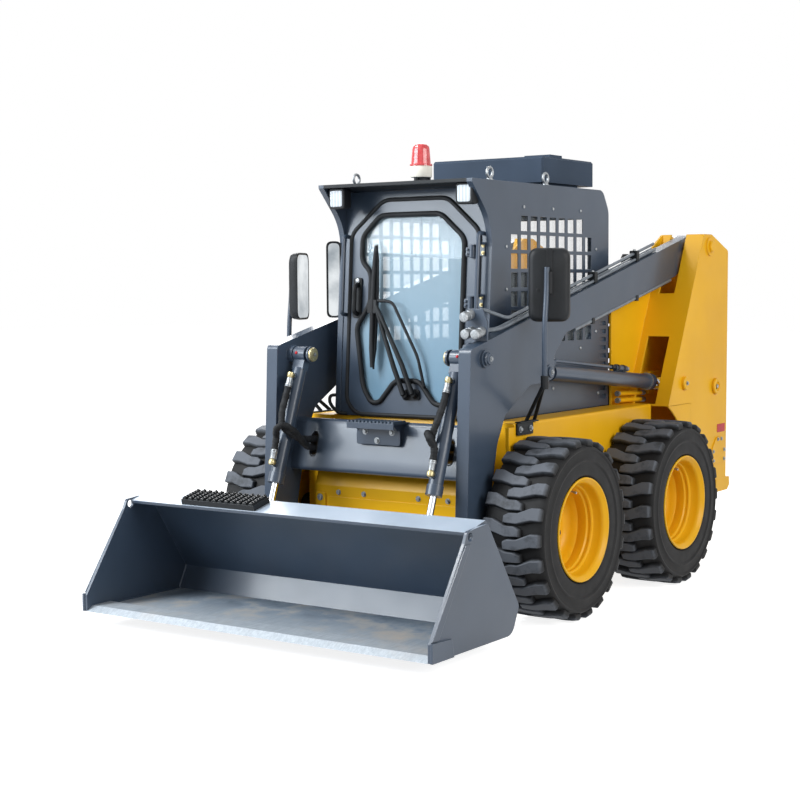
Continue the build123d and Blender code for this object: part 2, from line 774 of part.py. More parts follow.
def aux_couplers():
    """Plate on the left arm with three quick couplers that point forward, and their pipes along the arm."""
    front, back = -296, -284
    foot = arm_top_z(front)
    outer = ARM_IN_X + ARM_W
    profile = [(front, foot), (back, arm_top_z(back)), (back, foot + 145), (front, foot + 145)]
    body = side_plate(profile, ARM_IN_X, outer)
    body = body + block(ARM_IN_X - 42, ARM_IN_X, front, back, foot + 18, foot + 145)
    for x, z in ((ARM_IN_X - 22, foot + 122), (ARM_IN_X - 16, foot + 46), (ARM_IN_X + 36, foot + 46)):
        body = body + rod_between((x, back, z), (x, front - 62, z - 14), 21)
        body = body + rod_between((x, front - 50, z - 11), (x, front - 84, z - 19), 16)
    lift = PIPE_R + 3
    for x, z in ((ARM_IN_X - 16, foot + 46), (ARM_IN_X + 36, foot + 46)):
        along_x = max(x, ARM_IN_X + PIPE_R + 4)
        run = [(x, back, z), (x, back + 50, z), (along_x, back + 150, arm_top_z(back + 150) + lift),
               (along_x, PIPE_END_Y, arm_top_z(PIPE_END_Y) + lift)]
        body = body + pipe(run, PIPE_R, 30)
    top = [(ARM_IN_X - 22, back, foot + 122), (ARM_IN_X - 20, back + 70, foot + 143),
           (ARM_IN_X + 26, back + 225, arm_top_z(back + 225) + 40),
           (ARM_IN_X + 26, PIPE_END_Y, arm_top_z(PIPE_END_Y) + 40)]
    body = body + pipe(top, PIPE_R, 24)
    for y in (300, 760, 1220):
        y0, y1, top = y - 14, y + 14, arm_top_z(y) + 54
        clamp = [(y0, arm_top_z(y0)), (y1, arm_top_z(y1)), (y1, top), (y0, top)]
        body = body + side_plate(clamp, ARM_IN_X + 6, ARM_IN_X + 46)
    return body


# Bucket

def back_point(distance, offset):
    """Point along the bucket's back from its foot, moved toward the machine."""
    return along(BACK_FOOT, BACK_TOP, distance, -offset)


def bucket_side():
    inner = BUCKET_W / 2 - 14
    plate = side_plate(
        [
            (BUCKET_EDGE_Y + 4, BUCKET_FLOOR_Z),
            (-688, BUCKET_FLOOR_Z),
            BACK_FOOT,
            BACK_TOP,
            (-1030, 545),
            (-1052, 500),
            (BUCKET_EDGE_Y + 4, 140),
        ],
        inner,
        BUCKET_W / 2,
        [0, 60, 30, 10, 20, 20, 0],
    )
    hole = rod_x(18, inner - 5, BUCKET_W / 2 + 5, -1010, 522)
    shoe = side_plate(
        [(BUCKET_EDGE_Y, BUCKET_FLOOR_Z), (-1148, BUCKET_FLOOR_Z), (-1160, 140), (BUCKET_EDGE_Y, 146)],
        BUCKET_W / 2,
        BUCKET_W / 2 + 12,
    )
    strip = side_plate(
        [(-1050, 494), (BUCKET_EDGE_Y + 8, 150), (BUCKET_EDGE_Y + 54, 150), (-1012, 494)],
        BUCKET_W / 2,
        BUCKET_W / 2 + 6,
    )
    return plate - hole + shoe + strip


def lip_tread():
    """Serrated tread welded on the lip, toward the machine's right."""
    low, high = (-1006, 535), (-880, 567)
    base = side_plate(
        [along(low, high, 6), along(low, high, 116), along(low, high, 116, 28), along(low, high, 6, 28)],
        TREAD_X[0],
        TREAD_X[1],
    )
    pitch = (TREAD_X[1] - TREAD_X[0]) / TREAD_RIDGES
    for k in range(TREAD_RIDGES):
        x = TREAD_X[0] + pitch * (k + 0.25)
        ridge = [along(low, high, d, h) for d, h in ((8, 28), (114, 28), (114, 37), (8, 37))]
        base = base + side_plate(ridge, x, x + pitch / 2)
    return base


def bucket():
    inner = BUCKET_W / 2 - 14
    path = [
        BACK_TOP,
        BACK_FOOT,
        (-688, BUCKET_FLOOR_Z),
        (BUCKET_EDGE_Y + 150, BUCKET_FLOOR_Z),
    ]
    shell = side_plate(ribbon(path[::-1], SHEET), -inner, inner)
    lip = side_plate(ribbon([(-1005, 524), (-877, 556), (-868, 548)], 14), -inner, inner)
    side = bucket_side()
    edge = side_plate(
        [(BUCKET_EDGE_Y, BUCKET_FLOOR_Z), (BUCKET_EDGE_Y + 150, BUCKET_FLOOR_Z),
         (BUCKET_EDGE_Y + 150, BUCKET_FLOOR_Z + 22), (BUCKET_EDGE_Y + 40, BUCKET_FLOOR_Z + 22)],
        -inner, inner)
    return shell + lip + side + mirrored(side) + edge + lip_tread()


def attach_plate():
    plate = side_plate(
        [back_point(10, 0), back_point(430, 0), back_point(430, 20), back_point(10, 20)],
        -ARM_IN_X - 90,
        ARM_IN_X + 90,
    )
    y, z = BUCKET_HINGE
    ear = [back_point(10, 20), (y - 10, z - 45), (y + 45, z), (y, z + 45), back_point(170, 20)]
    y, z = TILT_EYE
    lug = [back_point(130, 20), (y, z - 45), (y + 45, z), (y, z + 45), back_point(290, 20)]
    pieces = [rod_x(HINGE_R, ARM_IN_X - 24, ARM_IN_X + ARM_W + 20, *BUCKET_HINGE)]
    for x in (ARM_IN_X - 18, ARM_IN_X + ARM_W + 6):
        pieces.append(side_plate(ear, x, x + 12, [0, 20, 30, 20, 0]))
    for x in (TILT_X - 52, TILT_X + 36):
        pieces.append(side_plate(lug, x, x + 16, [0, 25, 30, 25, 0]))
    for piece in pieces:
        plate = plate + piece + mirrored(piece)
    return plate


# Hydraulic cylinders, drawn along +Y from the first pin and turned onto their line

def barrel(radius, length, eye_r, eye_w, pin_r, rod_r):
    tube = Pos(0, (length + 72) / 2, 0) * Rot(90, 0, 0) * Cylinder(radius, length - 72)
    gland = Pos(0, length - 24, 0) * Rot(90, 0, 0) * Cylinder(radius + 5, 48)
    eye = Rot(0, 90, 0) * Cylinder(eye_r, eye_w)
    neck = Pos(0, 48, 0) * Box(eye_w, 60, radius * 1.2)
    hollow = Pos(0, length / 2 + 20, 0) * Rot(90, 0, 0) * Cylinder(radius - 8, length - 140)
    bore = Pos(0, length - 40, 0) * Rot(90, 0, 0) * Cylinder(rod_r + RUN_FIT, 100)
    pin_hole = Rot(0, 90, 0) * Cylinder(pin_r + RUN_FIT, eye_w + 10)
    return tube + gland + eye + neck - hollow - bore - pin_hole


def cylinder_rod(rod_r, length, eye_r, eye_w, piston_r):
    bar = Pos(0, -length / 2, 0) * Rot(90, 0, 0) * Cylinder(rod_r, length)
    eye = Rot(0, 90, 0) * Cylinder(eye_r, eye_w)
    piston = Pos(0, -length + 20, 0) * Rot(90, 0, 0) * Cylinder(piston_r, 40)
    return bar + eye + piston


def on_line(shape, start, end, x, at_end=False):
    """Turns a cylinder piece drawn along +Y onto the line from start to end."""
    angle = degrees(atan2(end[1] - start[1], end[0] - start[0]))
    y, z = end if at_end else start
    return Pos(x, y, z) * Rot(angle, 0, 0) * shape


def tilt_barrel(x):
    return on_line(barrel(TILT_R, TILT_BARREL_L, 38, 66, 24, 16), TILT_TOP, TILT_EYE, x)


def hose_point(distance, offset):
    """Point in front of the left tilt cylinder, at a distance below its top pin."""
    y, z = along(TILT_TOP, TILT_EYE, distance, -offset)
    return (TILT_X, y, z)


def tilt_hoses():
    """Two hoses from the left cylinder's ports into the slot of the cross beam, with their fittings."""
    slot = HOSE_SLOT_X
    upper = [hose_point(UPPER_PORT + 18, PORT_OUT), hose_point(300, PORT_OUT + 4), (TILT_X - 18, -512, 862),
             (slot + 2, -465, 812), (slot, -400, 796), (slot, -268, 786)]
    lower = [hose_point(LOWER_PORT - 18, PORT_OUT), hose_point(430, PORT_OUT + 8), (TILT_X - 20, -545, 872),
             (slot - 6, -490, 860), (slot - 6, -415, 785), (slot, -350, 750), (slot, -268, 742)]
    hoses = []
    for route, bends in ((upper, [120, 60, 45, 90]), (lower, [80, 36, 36, 80, 60])):
        hoses.append(pipe(route, HOSE_R, bends))
    for distance, step in ((UPPER_PORT, 18), (LOWER_PORT, -18)):
        port = rod_between(hose_point(distance, TILT_R), hose_point(distance, PORT_OUT + 14), 13)
        nut = rod_between(hose_point(distance - step, PORT_OUT), hose_point(distance + step, PORT_OUT), 14)
        hoses.append(port + nut)
    return Compound(children=[hoses[0] + hoses[2], hoses[1] + hoses[3]])


def tilt_rod(x):
    return on_line(cylinder_rod(16, TILT_ROD_L, 38, 60, 24), TILT_TOP, TILT_EYE, x, True)


def lift_barrel(x):
    body = barrel(39, LIFT_BARREL_L, 36, 44, 20, 22)
    feed = pipe([(0, 110, 34), (0, 110, 60), (0, 840, 56), (0, 840, 34)], PIPE_R, 14)
    block_low = Pos(0, 800, 56) * Rot(90, 0, 0) * Cylinder(16, 120)
    return on_line(body + feed + block_low, LIFT_FRONT, LIFT_REAR, x)


def lift_rod(x):
    return on_line(cylinder_rod(22, LIFT_ROD_L, 42, 52, 30), LIFT_FRONT, LIFT_REAR, x, True)


def place(name, shape):
    """Writes one node, moved so that the origin is under the machine's middle."""
    solids = [Pos(0, -MID_STATION, 0) * solid for solid in shape.solids()]
    node = solids[0] if len(solids) == 1 else Compound(children=solids)
    export_step(node, f"parts/{name}.step")


def main():
    os.makedirs("parts", exist_ok=True)
    place("chassis_sides", both(chassis_side()))
    place("axle_housings", axle_housings())
    place("belly_pan", belly_pan())
    place("towers", both(tower()))
    place("rear_bumper", rear_bumper())
    place("engine_block", engine_block())
    place("engine_hood", engine_hood())
    place("exhaust_stack", exhaust_stack())
    place("rear_door", rear_door())
    place("cab_sides", both(cab_side()))
    place("cab_windows", cab_windows())
    place("cab_roof", cab_roof())
    place("cab_rear_wall", cab_rear_wall())
    place("cab_front_frame", cab_front_frame())
    place("cab_floor", cab_floor())
    place("seat", seat())
    place("controls", controls())
    place("roof_unit", roof_unit())
    place("beacon", beacon())
    place("lifting_eyes", lifting_eyes())
    place("work_lamps", work_lamps())
    place("mirrors", mirrors())
    place("grab_rails", grab_rails())
    place("hinge_pins", hinge_pins())
    place("door_frame", door_frame())
    place("door_glass", door_glass())
    place("door_fittings", door_fittings())
    arm = boom_arm()
    place("boom_arm_left", arm)
    place("boom_arm_right", mirrored(arm))
    place("boom_crossmember", boom_crossmember())
    place("aux_couplers", aux_couplers())
    place("bucket_shell", bucket())
    place("attach_plate", attach_plate())
    hoses = tilt_hoses()
    for side, sign in (("left", 1), ("right", -1)):
        place(f"tilt_barrel_{side}", tilt_barrel(sign * TILT_X))
        place(f"tilt_hoses_{side}", hoses if sign > 0 else mirrored(hoses))
        place(f"tilt_rod_{side}", tilt_rod(sign * TILT_X))
        place(f"lift_barrel_{side}", lift_barrel(sign * LIFT_X))
        place(f"lift_rod_{side}", lift_rod(sign * LIFT_X))
        for end, y in (("front", 0), ("rear", WHEELBASE)):
            place(f"tyre_{end}_{side}", Pos(sign * TRACK / 2, y, AXLE_Z) * tyre())
            place(f"rim_{end}_{side}", rim_at(sign * TRACK / 2, y))


main()
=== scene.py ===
# Skid steer loader with a dirt bucket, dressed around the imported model. Metres, Y rearward, Z up.
from math import cos, hypot, pi, radians, sin, tan

import bmesh
import bpy
from mathutils import Matrix, Vector

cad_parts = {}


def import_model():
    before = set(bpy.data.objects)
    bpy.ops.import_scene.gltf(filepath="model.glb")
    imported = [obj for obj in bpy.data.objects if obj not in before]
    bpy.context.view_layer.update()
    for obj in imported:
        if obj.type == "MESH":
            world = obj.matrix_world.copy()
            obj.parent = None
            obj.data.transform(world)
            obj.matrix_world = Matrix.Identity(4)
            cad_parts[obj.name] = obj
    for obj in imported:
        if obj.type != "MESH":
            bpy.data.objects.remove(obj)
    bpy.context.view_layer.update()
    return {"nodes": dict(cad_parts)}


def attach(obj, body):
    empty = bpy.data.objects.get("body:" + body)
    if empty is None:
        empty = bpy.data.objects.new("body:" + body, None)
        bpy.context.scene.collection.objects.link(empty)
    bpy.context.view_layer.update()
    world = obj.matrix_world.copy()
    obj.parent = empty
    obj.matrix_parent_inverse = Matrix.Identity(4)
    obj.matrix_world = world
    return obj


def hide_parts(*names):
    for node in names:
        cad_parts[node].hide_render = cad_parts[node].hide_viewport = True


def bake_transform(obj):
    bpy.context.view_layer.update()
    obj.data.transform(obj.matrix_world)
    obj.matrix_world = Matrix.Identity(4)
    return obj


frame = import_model()
NODES = frame["nodes"]
SIDES = (("left", 1), ("right", -1))

# Driving sizes in millimetres; stations along Y are measured from the front axle
MID_STATION = 406.5
TRACK = 1520
WHEELBASE = 1068
TYRE_R = 415
TREAD_BASE_R = 386
LUGS_PER_ROW = 22
AXLE_Z = 415
DISC_X = -58
NUT_CIRCLE_R = 105
SILL_Z = 892
LEAN = 4.0
FRONT_TOP = (-12, 1928)
DOOR_HALF = 362
DOOR_LOW = 14
DOOR_HIGH = 1036
HINGE_X = 340
HINGE_Z = (330, 545, 785)
CAB_HALF_W = 438
CAB_TOP_Z = 2004
VISOR_BACK = -8
RAIL_OUT_X = 600
MIRROR_SIZE = (190, 335, 50)
ARM_IN_X = 514
ARM_OUT_X = 577
ARM_TOP_EDGE = ((-355, 1257), (1759, 1772))
ARM_LOW_EDGE = ((423, 1290), (1636, 1562))
COUPLER_Y = (-296, -284)
COUPLER_SPOTS = ((ARM_IN_X - 22, 122), (ARM_IN_X - 16, 46), (ARM_IN_X + 36, 46))
PIPE_END_Y = 1440
BEAM_FOOT = (-345, 640)
BEAM_SLOPE = 0.254
HOSE_SLOT_X = 390
HOSE_SLOT_Z = 766
HOSE_SLOT_R = 20
HOSE_SLOT_RISE = 37
STEP_HALF = 133
TILT_X = 448
TILT_TOP = (-320, 1195)
TILT_EYE = (-610, 400)
UPPER_PORT = 120
LOWER_PORT = 548
HOSE_OUT = 56
LIFT_X = 545
LIFT_FRONT = (250, 1108)
LIFT_REAR = (1505, 991)
TOWER_OUT_X = 695
TOWER_BOSS = (1905, 953)
BOOM_PIVOT = (1825, 1724)
REAR_ARCH_R = 528
DRIVE_PIPE_X = 486
APRON_Y = -231
BUCKET_HALF = 940
BUCKET_EDGE = -1300
LIP_LINE = ((-1006, 535), (-880, 567))
TREAD_X = (-613, -187)
TREAD_RIDGES = 12
TREAD_TOP = 36

# Outward from the cab's leaning front
FACE_OUT = (0, -1, 0.07)

# Camera, solved from the photo's perspective
CAMERA_AT = (4314, -6295, 1523)
CAMERA_AZIMUTH = 34.08
CAMERA_PITCH = 4.41
CAMERA_ROLL = 0.35
CAMERA_LENS = 71.56
CAMERA_SHIFT = (-0.0344, 0.0095)


# Places

def at(x, y, z):
    """Millimetres from the front axle's middle on the ground to the shared frame in metres."""
    return Vector((x / 1000, (y - MID_STATION) / 1000, z / 1000))


def side_view(s=1):
    """Placing of an outline drawn in side view, as station and height, at a depth outward on side s."""
    return lambda a, depth, b: at(s * depth, a, b)


def door_at(x, y, z):
    """Millimetres in the cab's leaning front plane, depth y rearward, height z above the sill."""
    foot = FRONT_TOP[0] - (FRONT_TOP[1] - SILL_Z) * tan(radians(LEAN))
    turned = Matrix.Rotation(radians(-LEAN), 3, "X") @ Vector((x, y, z))
    return at(turned.x, turned.y + foot, turned.z + SILL_Z)


def on_line(start, end, x, distance, offset=0.0):
    """Point beside the line from start to end in the (Y, Z) plane, offset toward the front."""
    length = hypot(end[0] - start[0], end[1] - start[1])
    u = ((end[0] - start[0]) / length, (end[1] - start[1]) / length)
    return at(x, start[0] + u[0] * distance + u[1] * offset, start[1] + u[1] * distance - u[0] * offset)


def edge_height(edge, y):
    """Height at a station of a straight edge in side view."""
    (y0, z0), (y1, z1) = edge
    return z0 + (y - y0) * (z1 - z0) / (y1 - y0)


def arm_top(y):
    return edge_height(ARM_TOP_EDGE, y)


# Colour and material helpers

def linear(hex_colour):
    channels = []
    for i in (1, 3, 5):
        c = int(hex_colour[i:i + 2], 16) / 255
        channels.append(c / 12.92 if c <= 0.04045 else ((c + 0.055) / 1.055) ** 2.4)
    return (*channels, 1.0)


def add(tree, kind, settings=None, links=None):
    """One shader node with its settings (ramp stops, attributes, sockets) and links from sockets or nodes."""
    node = tree.nodes.new("ShaderNode" + kind)
    for name, value in (settings or {}).items():
        if name == "stops":
            elements = node.color_ramp.elements
            while len(elements) < len(value):
                elements.new(0.5)
            for element, (position, colour) in zip(elements, value):
                element.position = position
                element.color = linear(colour)
        elif isinstance(name, str) and hasattr(node, name):
            setattr(node, name, value)
        else:
            node.inputs[name].default_value = value
    for name, source in (links or {}).items():
        tree.links.new(source.outputs[0] if hasattr(source, "outputs") else source, node.inputs[name])
    return node


def empty_tree(block):
    """Cleared node tree of a material or a world."""
    block.use_nodes = True
    block.node_tree.nodes.clear()
    return block.node_tree


def begin(name):
    """New material with its empty tree and an object coordinate."""
    material = bpy.data.materials.new(name)
    tree = empty_tree(material)
    return material, tree, add(tree, "TexCoord").outputs["Object"]


def close(material, settings, links):
    """Gives a material its surface shader: even values set on it, patterns linked to it."""
    tree = material.node_tree
    shader = add(tree, "BsdfPrincipled", settings, links)
    add(tree, "OutputMaterial", links={"Surface": shader})
    return material


def per_mm(size):
    """Texture scale that gives a feature about this many millimetres across."""
    return 1000 / size


def edge_mask(tree, radius, gain):
    """Rounded edge normal and a mask that is 1 on the outer edges of sheet metal."""
    bevel = add(tree, "Bevel", {"samples": 4, "Radius": radius})
    shape = add(tree, "NewGeometry")
    dot = add(tree, "VectorMath", {"operation": "DOT_PRODUCT"}, {0: bevel, 1: shape.outputs["True Normal"]})
    turn = add(tree, "Math", {"operation": "SUBTRACT", 0: 1.0}, {1: dot.outputs["Value"]})
    mask = add(tree, "Math", {"operation": "MULTIPLY", "use_clamp": True, 1: gain}, {0: turn})
    return bevel, mask


# Materials

def sprayed_paint(name, colour, shade, worn, roughness, coat, shine):
    """Two-coat machine enamel, sprayed: slight orange peel, soft drift in shade, edges rubbed lighter."""
    material, tree, place = begin(name)
    drift = add(tree, "TexNoise", {"Scale": per_mm(420), "Detail": 5.0}, {"Vector": place})
    base = add(tree, "ValToRGB", {"stops": [(0.32, shade), (0.62, colour)]}, {"Fac": drift})
    round_normal, mask = edge_mask(tree, 0.004, 3.0)
    chips = add(tree, "TexNoise", {"Scale": per_mm(26), "Detail": 6.0}, {"Vector": place})
    broken = add(tree, "Math", {"operation": "MULTIPLY"}, {0: mask, 1: chips})
    mix = add(tree, "Mix", {"data_type": "RGBA", 7: linear(worn)}, {"Factor": broken, 6: base})
    smudge = add(tree, "TexNoise", {"Scale": per_mm(150), "Detail": 8.0}, {"Vector": place})
    gloss = add(tree, "MapRange", {"To Min": roughness - 0.07, "To Max": roughness + 0.1},
                {"Value": smudge})
    peel = add(tree, "TexNoise", {"Scale": per_mm(5), "Detail": 2.0}, {"Vector": place})
    bump = add(tree, "Bump", {"Strength": 0.05, "Distance": 0.001}, {"Height": peel, "Normal": round_normal})
    return close(material, {"Specular IOR Level": shine, "Coat Weight": coat, "Coat Roughness": 0.18},
                 {"Base Color": mix.outputs[2], "Roughness": gloss, "Normal": bump})


def worn_bucket_steel():
    """Mild steel plate scoured by soil: bright toward the cutting edge, dusty tan and dark patches behind."""
    material, tree, place = begin("scoured_bucket_steel")
    stretch = add(tree, "Mapping", {"Scale": (1.0, 0.12, 1.0)}, {"Vector": place})
    streak = add(tree, "TexNoise", {"Scale": per_mm(9), "Detail": 8.0, "Roughness": 0.65},
                 {"Vector": stretch})
    patch = add(tree, "TexNoise", {"Scale": per_mm(260), "Detail": 7.0, "Roughness": 0.62},
                {"Vector": place})
    bare = add(tree, "ValToRGB", {"stops": [(0.3, "#a7b0b8"), (0.5, "#b9c2ca"), (0.72, "#cdd5dc")]},
               {"Fac": streak})
    cover = add(tree, "ValToRGB",
                {"stops": [(0.36, "#66727e"), (0.48, "#84909c"), (0.57, "#a3a3a2"), (0.7, "#b9afa4")]},
                {"Fac": patch})
    station = add(tree, "SeparateXYZ", links={"Vector": place})
    edge = at(0, BUCKET_EDGE, 0).y
    worn = add(tree, "MapRange", {"From Min": edge, "From Max": edge + 0.6},
               {"Value": station.outputs["Y"]})
    ragged = add(tree, "Math", {"operation": "ADD"}, {0: worn, 1: patch})
    share = add(tree, "MapRange", {"From Min": 0.55, "From Max": 1.15}, {"Value": ragged})
    mix = add(tree, "Mix", {"data_type": "RGBA"}, {"Factor": share, 6: bare, 7: cover})
    rough = add(tree, "MapRange", {"To Min": 0.36, "To Max": 0.62}, {"Value": share})
    bump = add(tree, "Bump", {"Strength": 0.12, "Distance": 0.001}, {"Height": streak})
    return close(material, {"Metallic": 0.4},
                 {"Base Color": mix.outputs[2], "Roughness": rough, "Normal": bump})


def tyre_rubber():
    """Moulded carbon-black rubber: matt sidewalls, tread faces scuffed grey and dusty."""
    material, tree, place = begin("moulded_tyre_rubber")
    dust = add(tree, "TexNoise", {"Scale": per_mm(70), "Detail": 7.0, "Roughness": 0.6}, {"Vector": place})
    flat = add(tree, "VectorMath", {"operation": "MULTIPLY", 1: (0.0, 1.0, 1.0)}, {0: place})
    radius = add(tree, "VectorMath", {"operation": "LENGTH"}, {0: flat})
    tread = add(tree, "MapRange", {"From Min": (TREAD_BASE_R - 1) / 1000, "From Max": (TYRE_R - 2) / 1000},
                {"Value": radius.outputs["Value"]})
    scuffed = add(tree, "Math", {"operation": "MULTIPLY"}, {0: tread, 1: dust})
    colour = add(tree, "ValToRGB", {"stops": [(0.06, "#131314"), (0.24, "#2b2d30"), (0.5, "#5b5f66")]},
                 {"Fac": scuffed})
    grain = add(tree, "TexNoise", {"Scale": per_mm(3), "Detail": 4.0}, {"Vector": place})
    bump = add(tree, "Bump", {"Strength": 0.2, "Distance": 0.0008}, {"Height": grain})
    rough = add(tree, "MapRange", {"To Min": 0.5, "To Max": 0.75}, {"Value": dust})
    return close(material, {"Specular IOR Level": 0.25},
                 {"Base Color": colour, "Roughness": rough, "Normal": bump})


def plain_metal(name, colour, dark, roughness, grain_mm, metallic=1.0):
    """Turned, plated or rolled metal with fine tool marks and a slight tarnish."""
    material, tree, place = begin(name)
    marks = add(tree, "TexNoise", {"Scale": per_mm(grain_mm), "Detail": 5.0}, {"Vector": place})
    base = add(tree, "ValToRGB", {"stops": [(0.3, dark), (0.65, colour)]}, {"Fac": marks})
    rough = add(tree, "MapRange", {"To Min": roughness * 0.8, "To Max": roughness * 1.25},
                {"Value": marks})
    return close(material, {"Metallic": metallic}, {"Base Color": base, "Roughness": rough})


def moulded_plastic(name, colour, dark, roughness, grain_mm, depth=0.25):
    """Injection-moulded plastic or rubber with a fine eroded grain."""
    material, tree, place = begin(name)
    grain = add(tree, "TexNoise", {"Scale": per_mm(grain_mm), "Detail": 3.0}, {"Vector": place})
    haze = add(tree, "TexNoise", {"Scale": per_mm(120), "Detail": 4.0}, {"Vector": place})
    base = add(tree, "ValToRGB", {"stops": [(0.3, dark), (0.7, colour)]}, {"Fac": haze})
    bump = add(tree, "Bump", {"Strength": depth, "Distance": 0.0006}, {"Height": grain})
    return close(material, {"Roughness": roughness, "Specular IOR Level": 0.2},
                 {"Base Color": base, "Normal": bump})


def glass_with_painted_shade(name, low_shaded_tint, high_lit_tint, low_cover, high_cover):
    """Toughened float glass with a cool tint, painted darker and less clear toward the sill for the shade in
    the cab behind it and paler toward the top for painted light; a soft sky reflection at a slant.
    """
    material, tree, place = begin(name)
    height = add(tree, "SeparateXYZ", links={"Vector": place})
    rise = add(tree, "MapRange", {"From Min": 0.95, "From Max": 1.75}, {"Value": height.outputs["Z"]})
    # Painted shade and light: the tint darkens toward the sill and pales toward the top.
    tint = add(tree, "ValToRGB", {"stops": [(0.0, low_shaded_tint), (1.0, high_lit_tint)]}, {"Fac": rise})
    cover = add(tree, "MapRange", {"To Min": low_cover, "To Max": high_cover}, {"Value": rise})
    return close(material, {"Roughness": 0.03}, {"Base Color": tint, "Alpha": cover})


def beacon_lens():
    """Moulded red polycarbonate, ribbed inside so that it glows softly where the light comes through."""
    material, tree, place = begin("red_polycarbonate")
    swirl = add(tree, "TexNoise", {"Scale": per_mm(34), "Detail": 2.0}, {"Vector": place})
    base = add(tree, "ValToRGB", {"stops": [(0.3, "#d9343a"), (0.7, "#f2686a")]}, {"Fac": swirl})
    return close(material, {"Transmission Weight": 0.35, "IOR": 1.58, "Roughness": 0.16},
                 {"Base Color": base})


def lamp_lens():
    """Fluted headlamp glass over a bright reflector bowl."""
    material, tree, place = begin("fluted_lamp_glass")
    flutes = add(tree, "TexWave", {"bands_direction": "X", "Scale": per_mm(9) / 6.28}, {"Vector": place})
    depth = flutes.outputs["Fac"]
    base = add(tree, "ValToRGB", {"stops": [(0.2, "#a3a9ae"), (0.8, "#bcc2c7")]}, {"Fac": depth})
    bump = add(tree, "Bump", {"Strength": 0.15, "Distance": 0.001}, {"Height": depth})
    return close(material, {"Metallic": 0.2, "Roughness": 0.2}, {"Base Color": base, "Normal": bump})


def woven_sleeve():
    """Black nylon sleeve over rubber hose: fine crossing threads, drawn 3 mm wide so that they show."""
    material, tree, place = begin("woven_hose_sleeve")
    threads = add(tree, "TexWave", {"bands_direction": "DIAGONAL", "Scale": per_mm(3) / 6.28},
                  {"Vector": place})
    lumps = add(tree, "TexNoise", {"Scale": per_mm(22), "Detail": 4.0}, {"Vector": place})
    base = add(tree, "ValToRGB", {"stops": [(0.3, "#0e0f11"), (0.7, "#26282b")]}, {"Fac": lumps})
    high = add(tree, "Math", {"operation": "ADD"}, {0: threads.outputs["Fac"], 1: lumps})
    bump = add(tree, "Bump", {"Strength": 0.5, "Distance": 0.0015}, {"Height": high})
    return close(material, {"Roughness": 0.6, "Specular IOR Level": 0.2},
                 {"Base Color": base, "Normal": bump})


GOLD = sprayed_paint("golden_machine_enamel", "#ecb316", "#e2a812", "#f3cc5c", 0.38, 0.06, 0.2)
SLATE = sprayed_paint("slate_machine_enamel", "#384556", "#323e4d", "#7a8799", 0.36, 0.3, 0.4)
ROOF = sprayed_paint("weathered_roof_enamel", "#384556", "#323e4d", "#7a8799", 0.6, 0.0, 0.15)
DARK = sprayed_paint("black_machine_enamel", "#1c1f22", "#15181b", "#43474b", 0.45, 0.05, 0.2)
# Painted sheen: a paler slate for the top of the bucket's lip, where it catches the light.
LIP_SHEEN = sprayed_paint("painted_lip_sheen_enamel", "#aebac8", "#9ca9b8", "#d5dde4", 0.32, 0.2, 0.5)
IRON = plain_metal("engine_cast_iron", "#4b4d50", "#38393c", 0.6, 8, 0.6)
BARE = worn_bucket_steel()
RUBBER = tyre_rubber()
CHROME = plain_metal("hard_chrome_rod", "#d9dce0", "#cfd3d8", 0.1, 2)
ZINC = plain_metal("zinc_plated_steel", "#a9adb0", "#83878b", 0.42, 6, 0.85)
YELLOW_ZINC = plain_metal("yellow_passivated_zinc", "#cbbf97", "#94865a", 0.38, 6, 0.85)
STEEL_PIPE = plain_metal("grey_painted_pipe", "#7b838b", "#666d75", 0.35, 30, 0.35)
# Both glasses carry painted shade toward the sill and painted light toward the top.
GLASS = glass_with_painted_shade("blue_tinted_glass", "#86aec8", "#c3dcea", 0.56, 0.32)
SIDE_GLASS = glass_with_painted_shade("clear_side_glass", "#c9d8e0", "#dfeaf0", 0.14, 0.08)
PLASTIC = moulded_plastic("black_grained_plastic", "#232528", "#191b1d", 0.48, 1.5)
SEAL = moulded_plastic("black_door_rubber", "#26282b", "#191a1c", 0.55, 4)
CREAM = moulded_plastic("cream_lamp_base", "#f0ece0", "#dedacd", 0.4, 2)
VINYL = moulded_plastic("black_seat_vinyl", "#2c2d30", "#1b1c1e", 0.55, 2, 0.4)
LENS = beacon_lens()
LAMP = lamp_lens()
SLEEVE = woven_sleeve()
MIRROR = plain_metal("silvered_mirror_glass", "#e9eef1", "#8d979f", 0.03, 190)
RED = moulded_plastic("red_reflex_plastic", "#c8202a", "#a9141d", 0.25, 3)


# Solids that stay in view and their finishes

CAD_FINISH = {
    GOLD: ["chassis_sides", "belly_pan", "towers", "rear_bumper", "rear_door", "engine_hood"],
    ROOF: ["cab_roof", "roof_unit"],
    SLATE: ["cab_sides", "cab_rear_wall", "cab_front_frame", "grab_rails", "hinge_pins", "door_frame",
            "boom_arm_left", "boom_arm_right", "bucket_shell", "attach_plate",
            "tilt_barrel_left", "tilt_barrel_right", "lift_barrel_left", "lift_barrel_right"],
    DARK: ["axle_housings", "cab_floor"],
    IRON: ["engine_block", "exhaust_stack"],
    CHROME: ["tilt_rod_left", "tilt_rod_right", "lift_rod_left", "lift_rod_right"],
    SIDE_GLASS: ["cab_windows"],
    GLASS: ["door_glass"],
    PLASTIC: ["controls"],
}


def finish_cad():
    for material, names in CAD_FINISH.items():
        for name in names:
            mesh = NODES[name].data
            mesh.materials.clear()
            mesh.materials.append(material)


def paint_visor_shade():
    """Painted shade: the visor over the cab's door gets black paint below and along its front edge, where it
    lies in shade.
    """
    mesh = NODES["cab_roof"].data
    mesh.materials.append(DARK)
    for polygon in mesh.polygons:
        ahead = polygon.center.y < at(0, VISOR_BACK, 0).y
        # Painted shade: the visor's underside and front face take the black enamel.
        polygon.material_index = 1 if ahead and polygon.normal.z < 0.3 else 0


